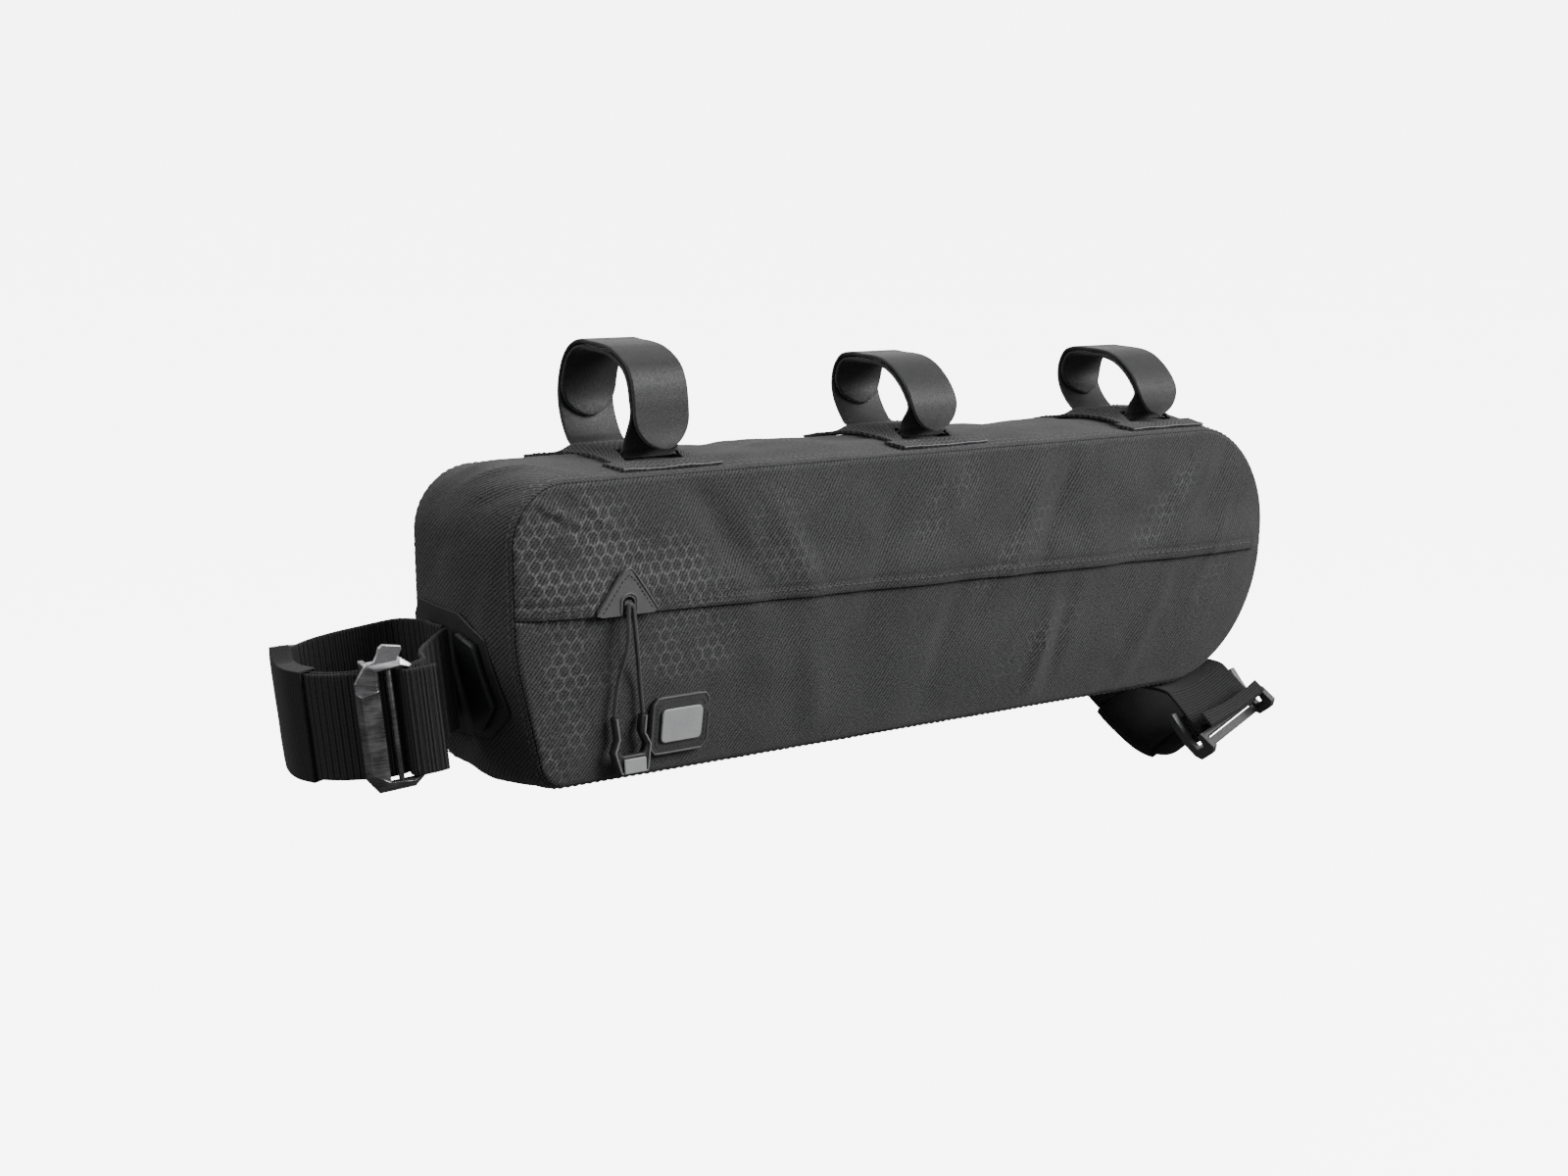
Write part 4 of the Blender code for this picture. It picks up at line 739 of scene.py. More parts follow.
class Sock:
    """A socket whose sums add Math nodes."""

    def __init__(self, made, socket):
        self.made, self.socket = made, socket

    def math(self, operation, *others):
        return self.made.node("ShaderNodeMath", {"operation": operation}, [self, *others])

    def __add__(self, other):
        return self.math("ADD", other)

    __radd__ = __add__

    def __mul__(self, other):
        return self.math("MULTIPLY", other)

    __rmul__ = __mul__

    def __sub__(self, other):
        return self.math("SUBTRACT", other)

    def __rsub__(self, other):
        return self.made.node("ShaderNodeMath", {"operation": "SUBTRACT"}, [other, self])

    def __truediv__(self, other):
        return self.math("DIVIDE", other)

    def sine(self):
        return self.math("SINE")

    def size(self):
        return self.math("ABSOLUTE")

    def power(self, other):
        return self.math("POWER", other)

    def least(self, other):
        return self.math("MINIMUM", other)

    def most(self, other):
        return self.math("MAXIMUM", other)

    def fraction(self):
        return self.math("FRACT")

    def above(self, other):
        return self.math("GREATER_THAN", other)

    def ramp(self, low, high, start=0.0, end=1.0):
        """Eases from start to end as the value goes from low to high."""
        return self.made.node(
            "ShaderNodeMapRange",
            {"interpolation_type": "SMOOTHSTEP", "clamp": True},
            {"Value": self, "From Min": low, "From Max": high, "To Min": start, "To Max": end},
        )


class Finish:
    """A material that is built node by node."""

    def __init__(self, name, roughness, metallic=0.0, **constants):
        self.material = bpy.data.materials.new(name)
        self.material.use_nodes = True
        self.tree = self.material.node_tree
        self.shader = self.tree.nodes["Principled BSDF"]
        self.shader.inputs["Roughness"].default_value = roughness
        self.shader.inputs["Metallic"].default_value = metallic
        for key, value in constants.items():
            self.shader.inputs[key.replace("_", " ")].default_value = value

    def put(self, socket, value):
        if isinstance(value, Sock):
            self.tree.links.new(value.socket, socket)
        else:
            socket.default_value = value

    def node(self, kind, settings=None, values=None, output=0):
        made = self.tree.nodes.new(kind)
        for key, value in (settings or {}).items():
            setattr(made, key, value)
        items = values.items() if isinstance(values, dict) else enumerate(values or ())
        for key, value in items:
            self.put(made.inputs[key], value)
        return Sock(self, made.outputs[output])

    def coordinates(self, mapped=False, scale=(1.0, 1.0, 1.0), turn=0.0):
        """Object coordinates, or the piece's own map, in millimetres times a scale."""
        if mapped:
            source = self.node("ShaderNodeUVMap", {"uv_map": "cloth"})
        else:
            source = self.node("ShaderNodeTexCoord", output=3)
        size = tuple(1000.0 * value for value in scale)
        values = {"Vector": source, "Rotation": (0.0, 0.0, turn), "Scale": size}
        return self.node("ShaderNodeMapping", {}, values)

    def parts(self, vector):
        made = self.tree.nodes.new("ShaderNodeSeparateXYZ")
        self.put(made.inputs[0], vector)
        return [Sock(self, made.outputs[index]) for index in range(3)]

    def noise(self, vector, scale, detail=2.0, roughness=0.5):
        values = {"Vector": vector, "Scale": scale, "Detail": detail, "Roughness": roughness}
        return self.node("ShaderNodeTexNoise", {}, values)

    def mix(self, share, first, second):
        made = self.tree.nodes.new("ShaderNodeMix")
        made.data_type = "RGBA"
        self.put(made.inputs["Factor"], share)
        for key, value in (("A", first), ("B", second)):
            socket = next(item for item in made.inputs if item.name == key and item.type == "RGBA")
            self.put(socket, value if isinstance(value, Sock) else (*value, 1.0))
        return Sock(self, next(item for item in made.outputs if item.type == "RGBA"))

    def colour(self, value):
        self.put(self.shader.inputs["Base Color"], value if isinstance(value, Sock) else (*value, 1.0))

    def rough(self, value):
        self.put(self.shader.inputs["Roughness"], value)

    def bump(self, height, distance, strength=1.0):
        values = {"Height": height, "Distance": distance, "Strength": strength}
        self.put(self.shader.inputs["Normal"], self.node("ShaderNodeBump", {}, values))


# The pale print on the zip side: middle as shares of the length and height, half sizes in millimetres, turn
# from level in degrees, strength
PRINT_PATCHES = (
    (0.060, 0.74, 34, 27, 0, 1.0),
    (0.150, 0.68, 34, 17, -15, 0.8),
    (0.290, 0.74, 16, 22, 20, 0.35),
    (0.060, 0.40, 18, 17, 0, 0.8),
    (0.180, 0.43, 26, 14, 0, 0.7),
    (0.045, 0.16, 12, 16, 0, 0.7),
    (0.50, 0.82, 26, 9, 35, 0.4),
    (0.60, 0.62, 34, 8, 38, 0.4),
    (0.82, 0.70, 34, 8, 38, 0.45),
    (0.64, 0.26, 34, 9, 28, 0.35),
    (0.90, 0.36, 18, 8, 50, 0.3),
)


def heather(name, printed):
    """Charcoal heather cloth: dark and pale yarns in a fine twill, with a pale honeycomb that fades."""
    made = Finish(name, 0.88, Sheen_Weight=0.12, Sheen_Roughness=0.5, Specular_IOR_Level=0.12)
    cloth = made.coordinates(mapped=True)
    right, up, _ = made.parts(cloth)
    wobble = made.noise(cloth, 0.5, 1.0) * 0.9
    twill = ((right * 0.78 - up * 0.62 + wobble * 0.5) * (2 * math.pi / 1.30)).sine() * 0.5 + 0.5
    yarn = ((right * 0.62 + up * 0.78) * (2 * math.pi / 0.85)).sine() * 0.5 + 0.5
    grain = made.noise(cloth, 1.5, 2.0, 0.75)
    long_way = made.noise(made.coordinates(True, (0.55, 2.4, 1.0), math.radians(-38)), 1.0, 2.0, 0.6)
    flecks = (grain * 0.6 + long_way * 0.4).ramp(0.38, 0.64)
    broad = made.noise(cloth, 0.045, 3.0, 0.55).ramp(0.3, 0.7, -0.035, 0.035)
    pale = (twill * 0.40 + flecks * 0.42 + yarn * 0.10 + broad - 0.06).most(0.0).least(1.0)
    colour = made.mix(pale, (0.006, 0.006, 0.0065), (0.120, 0.120, 0.122))
    height = twill * 0.6 + yarn * 0.3 + grain * 0.5
    if printed:
        place = made.node("ShaderNodeTexCoord", output=3)
        along, _, rise = made.parts(place)
        along = (along + ORIGIN.x) * 1000.0
        rise = (rise + ORIGIN.z) * 1000.0
        mask = None
        for share_along, share_up, wide, tall, turn, strength in PRINT_PATCHES:
            c, s = math.cos(math.radians(turn)), math.sin(math.radians(turn))
            first = along - share_along * LENGTH * 1000
            second = rise - share_up * HEIGHT * 1000
            one = (first * c + second * s) / wide
            two = (second * c - first * s) / tall
            patch = (one * one + two * two).ramp(1.3, 0.25, 0.0, strength)
            mask = patch if mask is None else mask.most(patch)
        lines = honeycomb(along, rise, 4.8)
        fade = made.noise(cloth, 0.075, 3.0, 0.6).ramp(0.30, 0.58)
        dots = (twill * 0.55 + flecks * 0.45).ramp(0.15, 0.7, 0.25, 1.0)
        share = lines * mask * fade * dots
        colour = made.mix((share * 0.72).least(0.7), colour, (0.185, 0.185, 0.188))
    made.colour(colour)
    made.rough(made.noise(cloth, 0.5, 2.0).ramp(0.3, 0.7, 0.80, 0.95))
    made.bump(height, 0.00020, 0.7)
    return made.material


def honeycomb(first, second, pitch):
    """The lines of a grid of hexagons, 1 on a line and 0 inside."""
    tall = math.sqrt(3.0)

    def cell(shift):
        a = ((first / pitch + shift).fraction()) - 0.5
        b = ((second / (pitch * tall) + shift).fraction() - 0.5) * tall
        return a, b

    a, b = cell(0.0)
    c, d = cell(0.5)
    nearer = (c * c + d * d - a * a - b * b).above(0.0)
    x = (c + (a - c) * nearer).size()
    y = (d + (b - d) * nearer).size()
    edge = (x * 0.5 + y * (tall / 2)).most(x)
    return (edge * 0.55 + (x * x + y * y).power(0.5) * 0.45).ramp(0.345, 0.49)


def webbing_finish(name, base=0.010, pale=0.050):
    """Ribbed webbing: each rib is painted darker in its groove as shade, with fine threads across it."""
    made = Finish(name, 0.75, Sheen_Weight=0.15, Sheen_Roughness=0.4, Specular_IOR_Level=0.2)
    along, across, _ = made.parts(made.coordinates(mapped=True))
    rib = (along * (2 * math.pi / (RIB_PITCH * 1000))).sine() * 0.5 + 0.5
    # crest is 1 on each rib's crest and 0 in its groove: it paints shade into the grooves
    crest = ((along * (2 * math.pi / (RIB_PITCH * 1000)) + math.pi / 2).sine() * 0.5 + 0.5).power(2.0)
    thread = (across * (2 * math.pi / 0.42)).sine() * 0.5 + 0.5
    grain = made.noise(made.coordinates(True, (0.6, 2.6, 1.0)), 1.0, 3.0, 0.6)
    share = (crest * 0.62 + thread * 0.14 + grain.ramp(0.35, 0.7) * 0.24).least(1.0)
    made.colour(made.mix(share, (base * 0.5, base * 0.5, base * 0.52), (pale, pale, pale * 1.03)))
    made.rough(grain.ramp(0.3, 0.7, 0.62, 0.85))
    made.bump(thread * 0.5 + grain * 0.6 + rib * 0.2, 0.00016, 0.8)
    return made.material


def loop_finish(name):
    """Hook-and-loop tape: a satin outer face with a fine hook texture."""
    made = Finish(name, 0.5, Sheen_Weight=0.35, Sheen_Roughness=0.35, Specular_IOR_Level=0.4)
    cloth = made.coordinates(mapped=True)
    _, across, _ = made.parts(cloth)
    values = {"Vector": cloth, "Scale": 1.5, "Randomness": 0.7}
    hooks = made.node("ShaderNodeTexVoronoi", {"feature": "F1"}, values)
    warp = (across * (2 * math.pi / 0.8)).sine() * 0.5 + 0.5
    grain = made.noise(made.coordinates(True, (0.5, 3.0, 1.0)), 1.0, 3.0, 0.6)
    share = (grain.ramp(0.3, 0.7) * 0.6 + warp * 0.2 + hooks * 0.3).least(1.0)
    made.colour(made.mix(share, (0.008, 0.008, 0.009), (0.034, 0.034, 0.036)))
    made.rough(grain.ramp(0.3, 0.7, 0.40, 0.60))
    made.bump(grain * 0.7 + warp * 0.3 + hooks * 0.5, 0.00016, 0.7)
    return made.material


def moulded(name, base, pale, roughness, grain_size=2.2, depth=0.00008):
    """Moulded rubber or plastic with a fine grain, paler where it is rubbed."""
    made = Finish(name, roughness, Specular_IOR_Level=0.45)
    place = made.coordinates()
    grain = made.noise(place, grain_size, 3.0, 0.6)
    broad = made.noise(place, 0.08, 2.0)
    share = (grain.ramp(0.35, 0.7) * 0.55 + broad.ramp(0.3, 0.7) * 0.35).least(1.0)
    made.colour(made.mix(share, base, pale))
    made.rough(grain.ramp(0.3, 0.7, roughness - 0.08, roughness + 0.12))
    made.bump(grain, depth, 0.6)
    return made.material


def metal(name, colour, pale, painted_highlight_above=None):
    """Painted die-cast metal with faint brushing. Given a height, its colour turns pale grey above it: a
    painted highlight on the upper facets.
    """
    made = Finish(name, 0.32, 0.9)
    brushed = made.noise(made.coordinates(scale=(0.2, 0.2, 3.0)), 1.0, 3.0, 0.6)
    broad = made.noise(made.coordinates(), 0.15, 2.0)
    shade = made.mix((brushed * 0.5 + broad * 0.5).ramp(0.35, 0.7), colour, pale)
    # Painted highlight: above the given height the colour is mixed to pale grey, as if the upper facets
    # caught the light
    if painted_highlight_above is not None:
        _, _, rise = made.parts(made.node("ShaderNodeTexCoord", output=3))
        top = ((rise + ORIGIN.z) * 1000).ramp(painted_highlight_above, painted_highlight_above + 1.5)
        shade = made.mix(top, shade, (0.72, 0.72, 0.74))
    made.colour(shade)
    made.rough((brushed * 0.6 + broad * 0.4).ramp(0.3, 0.7, 0.24, 0.42))
    made.bump(brushed, 0.00003, 0.5)
    return made.material


def thread_finish(name, base):
    made = Finish(name, 0.7, Sheen_Weight=0.3)
    grain = made.noise(made.coordinates(), 3.0, 2.0)
    dark, pale = (base * 0.6, base * 0.6, base * 0.62), (base * 1.5, base * 1.5, base * 1.55)
    made.colour(made.mix(grain.ramp(0.3, 0.7), dark, pale))
    made.bump(grain, 0.0001, 0.6)
    return made.material


CLOTH_SIDE = heather("zip_side_cloth", True)
CLOTH = heather("heather_cloth", False)
WEBBING = webbing_finish("ribbed_webbing")
HOOK_LOOP = loop_finish("hook_and_loop_tape")
RUBBER = moulded("patch_rubber_grain", (0.030, 0.030, 0.031), (0.062, 0.062, 0.064), 0.55)
DARK_RUBBER = moulded("tail_patch_grain", (0.015, 0.015, 0.0155), (0.034, 0.034, 0.035), 0.5)
LINING = moulded("smooth_lining_cloth", (0.010, 0.011, 0.0115), (0.020, 0.021, 0.022), 0.42, 1.2, 0.00005)
TAPE = moulded("zip_tape_cloth", (0.008, 0.008, 0.008), (0.02, 0.02, 0.02), 0.8)
PALE = moulded("pale_plate", (0.30, 0.305, 0.31), (0.42, 0.425, 0.43), 0.42)
GUNMETAL = metal("gunmetal_finish", (0.10, 0.10, 0.105), (0.26, 0.26, 0.27))
# The tail buckle's metal carries a painted highlight above 50 mm
BUCKLE_METAL = metal("tail_buckle_metal_painted_highlight", (0.13, 0.13, 0.135), (0.34, 0.34, 0.35), 50.0)
NOSE_METAL = moulded("nose_buckle_paint", (0.045, 0.045, 0.047), (0.10, 0.10, 0.103), 0.40)
# Pale rubber for the pull's rim: a painted highlight along the pull's edges
PULL_RIM_HIGHLIGHT = moulded("pull_rim_highlight_rubber", (0.16, 0.16, 0.163), (0.24, 0.24, 0.243), 0.5)
ZIP_PATCH_RUBBER = moulded("zip_patch_rubber", (0.070, 0.070, 0.072), (0.112, 0.112, 0.115), 0.5)
KEEPER = webbing_finish("keeper_webbing", 0.007, 0.024)
THREAD = thread_finish("topstitch_thread", 0.055)
DARK_THREAD = thread_finish("dark_topstitch_thread", 0.010)
CORD = thread_finish("cord_braid", 0.030)
PALE_EDGE = thread_finish("raw_cloth_edge", 0.20)


# The shell


def close_ends(share, tightness=0.6):
    """Spreads shares so that they lie closer together at both ends."""
    return share - tightness * math.sin(2 * math.pi * share) / (2 * math.pi)


def flap_lift(along, up):
    """How far the flap stands out: nothing at the seams, where it is sewn in."""
    above = up - flap_edge(along)
    distance, _ = nearest_seam(along, up)
    run_out = ease((FLAP_RUN - above) / (FLAP_RUN - FLAP_LAP - 0.0006))
    return FLAP_LIFT * run_out * ease((distance - 0.001) / 0.010)


def zip_side():
    columns, rows = 250, 60
    ends = (point_at(TAIL_SEAM, 0.5).x, point_at(NOSE_SEAM, 0.5).x)

    def edge_line(lift):
        def at(u):
            along = ends[0] + (ends[1] - ends[0]) * u
            return Vector((along, flap_edge(along) + lift))

        return at

    flap = edge_line(0.0)
    inside = coons(
        flap,
        lambda u: point_at(TOP_SEAM, u),
        seam_part(TAIL_SEAM, flap(0.0).y, TAIL_SEAM[-1].y),
        seam_part(NOSE_SEAM, flap(1.0).y, NOSE_SEAM[-1].y),
    )

    def upper(u, v):
        """The panel above the flap's edge, with its hem and curled edge."""
        point = inside(close_ends(u, 0.7), close_ends(v))
        above = point.y - flap_edge(point.x)
        hem = 0.00035 * ease(1 - abs(above - 0.0046) / 0.0010)
        curl = 0.0005 * ease(1 - above / 0.0012)
        along, up, drop = rolled(point.x, point.y)
        spot = side_place(point.x, point.y, flap_lift(point.x, point.y) - hem - curl - drop)
        return Vector((along, spot.y, up))

    def cloth(u, v):
        point = inside(close_ends(u, 0.7), close_ends(v))
        return (point.x, point.y)

    shape = grid(columns, rows, upper, cloth)
    walled(piece("cloth_upper", shape, CLOTH_SIDE, "charcoal_fabric", ("side_panel_upper",)), WALL, 0.0005)

    hidden = edge_line(FLAP_LAP - 0.0009)
    below = coons(
        lambda u: point_at(BASE_SEAM, u),
        hidden,
        seam_part(TAIL_SEAM, TAIL_SEAM[0].y, hidden(0.0).y),
        seam_part(NOSE_SEAM, NOSE_SEAM[0].y, hidden(1.0).y),
    )

    def lower(u, v):
        """The panel below, whose upper edge is tucked in behind the flap."""
        point = below(close_ends(u, 0.7), close_ends(v, 0.5))
        along, up, drop = rolled(point.x, point.y)
        above = point.y - flap_edge(point.x)
        tucked = (FLAP_LIFT - flap_lift(point.x, point.y)) * ease((above + 0.0015) / 0.002)
        tucked += 0.0004 * ease((above + 0.001) / 0.002)
        return Vector((along, side_place(point.x, point.y, -drop - tucked).y, up))

    def cloth_low(u, v):
        point = below(close_ends(u, 0.7), close_ends(v, 0.5))
        return (point.x, point.y)

    shape = grid(columns, rows, lower, cloth_low)
    walled(piece("cloth_lower", shape, CLOTH_SIDE, "charcoal_fabric", ("side_panel_lower",)), WALL)


def back_side():
    inside = coons(
        lambda u: point_at(BASE_SEAM, u),
        lambda u: point_at(TOP_SEAM, u),
        lambda v: point_at(TAIL_SEAM, v),
        lambda v: point_at(NOSE_SEAM, v),
    )

    def spot(u, v):
        return inside(close_ends(1 - u, 0.7), close_ends(v, 0.7))

    def place(u, v):
        point = spot(u, v)
        distance, _ = nearest_seam(point.x, point.y)
        along, up, drop = rolled(point.x, point.y)
        out = pillow(distance) + 1.6 * cloth_waves(point.x, point.y, 11.0) * min(1.0, distance / 0.012)
        return Vector((along, HALF + out - drop, up))

    def cloth(u, v):
        point = spot(u, v)
        return (point.x, point.y)

    walled(piece("cloth_back", grid(200, 72, place, cloth), CLOTH, "charcoal_fabric", ("back_panel",)), WALL)


# Humps of the bag's top between the strap patches: place along the bag, half length, height
TOP_HUMPS = (
    (0.106, 0.011, 0.0013),
    (0.143, 0.015, 0.0012),
    (0.172, 0.010, -0.0005),
    (0.252, 0.015, 0.0010),
    (0.296, 0.012, 0.0012),
    (0.124, 0.006, -0.0006),
    (0.026, 0.010, 0.0004),
)
# Creases of the strip round the bag: nearest point of the seam along and up the bag, place across as a share
# of half the width, turn from the strip's own length in degrees, half length, half width, depth
STRIP_CREASES = (
    (0.012, 0.104, -0.10, 48, 0.016, 0.0020, 0.0011),
    (0.004, 0.098, -0.45, 62, 0.012, 0.0016, -0.0008),
    (0.022, 0.108, 0.25, 40, 0.014, 0.0022, 0.0007),
    (0.002, 0.085, 0.10, 75, 0.014, 0.0030, -0.0006),
    (0.003, 0.070, -0.60, 20, 0.016, 0.0030, 0.0006),
    (0.018, 0.010, -0.30, 60, 0.015, 0.0030, 0.0007),
    (0.385, 0.090, 0.20, 50, 0.016, 0.0030, 0.0007),
    (0.330, 0.108, -0.55, 15, 0.020, 0.0030, -0.0006),
)


def strip_frame():
    """The seam's ring with its distances and its outward ways."""
    count = len(SEAM_RING)
    ways = []
    for index in range(count):
        ahead = SEAM_RING[(index + 2) % count] - SEAM_RING[index - 2]
        ways.append(Vector((ahead.y, -ahead.x)).normalized())
    return lengths(SEAM_RING), ways


RING_TOTAL, RING_WAYS = strip_frame()
RING_CREASES = []
for crease in STRIP_CREASES:
    target = Vector(crease[:2])
    nearest = min(range(len(SEAM_RING)), key=lambda index: (SEAM_RING[index] - target).length)
    RING_CREASES.append((RING_TOTAL[nearest], *crease[2:]))


def strip_point(index, across, out=0.0):
    """A point of the strip round the bag and its outward way."""
    edge = HALF - GAP
    point, way = SEAM_RING[index], RING_WAYS[index]
    inset = edge - abs(across)
    drop = 0.0
    if inset < CORNER_ROLL:
        angle = math.pi / 4 * (1 - inset / CORNER_ROLL)
        drop = CORNER_ROLL * (1 - math.cos(angle))
        across = math.copysign(edge - CORNER_ROLL * (1 - math.sin(angle)), across)
    height = cloth_waves(point.x * 1.3 + point.y, across * 2 + point.y, 23.0) * min(1.0, inset / 0.010)
    for hump_along, half_length, hump in TOP_HUMPS:
        if way.y > 0.9:
            height += hump * bow(across) * math.exp(-(((point.x - hump_along) / half_length) ** 2))
    for distance, share, turn, half_length, half_width, depth in RING_CREASES:
        run = RING_TOTAL[index] - distance
        side = across - share * HALF
        angle = math.radians(turn)
        lengthwise = (run * math.cos(angle) + side * math.sin(angle)) / half_length
        sideways = (side * math.cos(angle) - run * math.sin(angle)) / half_width
        if abs(lengthwise) < 3 and abs(sideways) < 3:
            height += depth * math.exp(-(lengthwise**2) - sideways**2) * min(1.0, inset / 0.006)
    spot = point + way * (crown_at(way) * bow(across) - drop + height + out)
    return Vector((spot.x, across, spot.y)), Vector((way.x, 0.0, way.y))


def gusset_side():
    count = len(SEAM_RING)
    edge = HALF - GAP

    def place(u, v):
        return strip_point(round(u * count) % count, edge * (1 - 2 * close_ends(v, 0.7)))[0]

    def cloth(u, v):
        return (RING_TOTAL[-1] * u, edge * (1 - 2 * close_ends(v, 0.7)))

    shape = grid(count, 48, place, cloth)
    bmesh.ops.remove_doubles(shape, verts=shape.verts, dist=1e-7)
    walled(piece("cloth_gusset", shape, CLOTH, "charcoal_fabric", ("gusset",)), WALL)


# The way that the zip side faces
FACING = Vector((0.0, -1.0, 0.0))


def seam_threads():
    """Topstitching: two rows along the top's edge, one round the rest, and one above the flap's edge."""
    top = [index for index, way in enumerate(RING_WAYS) if way.y > 0.75]
    rest = [index for index, way in enumerate(RING_WAYS) if way.y <= 0.75]
    for side, label in ((-1, "zip_side"), (1, "back_side")):
        for number, inset in enumerate((0.0026, 0.0052)):
            path = [strip_point(index, side * (HALF - GAP - inset), 0.00010) for index in top]
            stitches("top_stitches_%s_%d" % (label, number + 1), path, THREAD, "charcoal_fabric")
        path = [strip_point(index, side * (HALF - GAP - 0.0024), 0.00008) for index in rest]
        stitches("edge_stitches_" + label, path, THREAD, "charcoal_fabric")
    path = []
    for step in range(160):
        along = 0.010 + (LENGTH - 0.022) * step / 159
        up = flap_edge(along) + 0.0030
        if abs(along - ZIP_PATCH_CENTRE) > 0.0155:
            path.append((side_place(along, up, flap_lift(along, up) + 0.0001), FACING))
    gap = max(range(1, len(path)), key=lambda index: (path[index][0] - path[index - 1][0]).length)
    stitches("flap_stitches_tail", path[:gap], THREAD, "charcoal_fabric")
    stitches("flap_stitches_nose", path[gap:], THREAD, "charcoal_fabric")


def on_side(along, up, out):
    """A point above the zip side where the sewn parts lie, which follow only its broad folds."""
    return Vector((along, -HALF - side_out(along, up, False) - out, up))


def raised_line(name, corners, origin, out, radius, ring=False):
    """A thin raised rim along corners, given from an origin on the zip side."""
    points = [Vector(corner) for corner in corners]
    if ring:
        points = points + points[:2]
    path = smooth_curve(points, 0.0007)
    if ring:
        path = path[: -round(len(path) / (len(points) - 1))]
    spots = [on_side(origin[0] + point.x, origin[1] + point.y, out) for point in path]
    tube(name, spots, radius, 8, ZIP_PATCH_RUBBER)


def sewn_line(name, corners, origin, out):
    """Stitching along corners, given from an origin on the zip side."""
    points = []
    for first, second in zip(corners, corners[1:]):
        points += [Vector(first).lerp(Vector(second), step / 8) for step in range(8)]
    points.append(Vector(corners[-1]))
    path = [(on_side(origin[0] + point.x, origin[1] + point.y, out), FACING) for point in points]
    stitches(name, path, DARK_THREAD, "patch_rubber", length=0.0013, gap=0.0005, radius=0.00024)


def sewn_details():
    """Rims and stitching on the zip's patch and on the badge, and the pull's rim. The badge's rim and the
    pull's rim are paler than what they sit on, as painted highlights.
    """
    foot = (ZIP_PATCH_CENTRE, flap_edge(ZIP_PATCH_CENTRE))
    face = FLAP_LIFT + GAP + ZIP_PATCH_WALL

    def both_halves(rows):
        right = [(first / 1000, second / 1000) for first, second in rows]
        return [(-first, second) for first, second in right[:-1]] + right[::-1]

    raised_line("zip_patch_rim", both_halves(ZIP_PATCH_RIM), foot, face - 0.00005, RIM_RADIUS)
    raised_line("zip_patch_slot_rim", both_halves(SLOT_RIM), foot, face - 0.00005, 0.00045)
    sewn_line("zip_patch_stitches", both_halves(ZIP_PATCH_SEAM), foot, face + 0.00005)

    face = GAP + BADGE_WALL
    wide, tall, corner = 0.0128, 0.0103, 0.0036
    ring = []
    for side_x, side_y, first in ((1, 1, 0), (-1, 1, 90), (-1, -1, 180), (1, -1, 270)):
        for turn in (0, 30, 60, 90):
            angle = math.radians(first + turn)
            level = side_x * (wide - corner) + corner * math.cos(angle)
            ring.append((level, side_y * (tall - corner) + corner * math.sin(angle)))
    # The badge's rim is in the zip patch's paler rubber, over the darker badge: a painted highlight along the
    # rim
    raised_line("badge_rim_highlight", ring, BADGE_CENTRE, face - 0.00005, 0.00045, True)

    front = on_side(PULL_CENTRE, PULL_TOP, PULL_FRONT).y
    rim = []
    for first, second in PULL_RIM:
        height = PULL_FOOT + second * (PULL_TOP - PULL_FOOT)
        rim.append(Vector((PULL_CENTRE + first * PULL_WIDTH / 2, front, height)))
    # The pull's rim is a pale tube: a painted highlight along its edges
    tube("pull_rim", split_lines(rim, 6), RIM_RADIUS, 8, PULL_RIM_HIGHLIGHT)
    inner = [(first * 0.86, second * 0.83) for first, second in ring]
    sewn_line("badge_stitches", inner + inner[:1], BADGE_CENTRE, face + 0.00005)


# Straps and their fittings


def top_loops():
    """The hook-and-loop straps, each from its near tip over the top, through its patch and round inside."""
    for name, centre, height, low in TOP_LOOPS:
        base = top_height(centre, 0.0)
        rows = [row[2:] if low else row[:2] for row in TOP_LOOP_ROUTE]
        outer = [Vector((first * TOP_LOOP_WIDTH / 2, base + second * height)) for first, second in rows]
        outer = smooth_curve(outer, 0.001)[::-1]
        inner = beside(outer, -TOP_STRAP_LAYER)
        crest = max(range(len(inner)), key=lambda index: inner[index].y)
        rising = [point for point in inner[:crest] if point.y > base + INNER_TURN_START * height]
        falling = [point for point in inner[crest:] if point.y > base + INNER_TURN_END * height]
        reach = (PATCH_SLOT_NEAR + PATCH_SLOT_FAR) / 2

        def under(across, lift):
            return Vector((across, top_height(centre, across) + GAP + TOP_STRAP_WALL / 2 + lift))

        crossing = [under(reach - 0.0035, 0.0004), under(0.5 * reach, 0.0), under(0.0, 0.0)]
        crossing += [under(-0.5 * reach, 0.0), under(0.0035 - reach, 0.0004)]
        rise = [under(-reach, 0.0034), under(-reach - 0.0012, 0.0070)]
        route = outer[:-3:6] + [under(reach + 0.0002, 0.0034)] + crossing + rise
        route = smooth_curve(route + rising[4::6] + falling[::6], 0.0005)

        def place(first, second, across):
            return Vector((centre + across, first, second))

        half_at = tongue(TOP_STRAP_WIDTH / 2, TOP_STRAP_TIP)
        finish = (HOOK_LOOP, "hook_and_loop", ("top_strap_" + name,))
        band("top_loop_" + name, route, half_at, TOP_STRAP_WALL, place, *finish)


def split_lines(lines, parts):
    made = []
    for first, second in zip(lines, lines[1:]):
        made += [first + (second - first) * part / parts for part in range(parts)]
    return made + [lines[-1]]


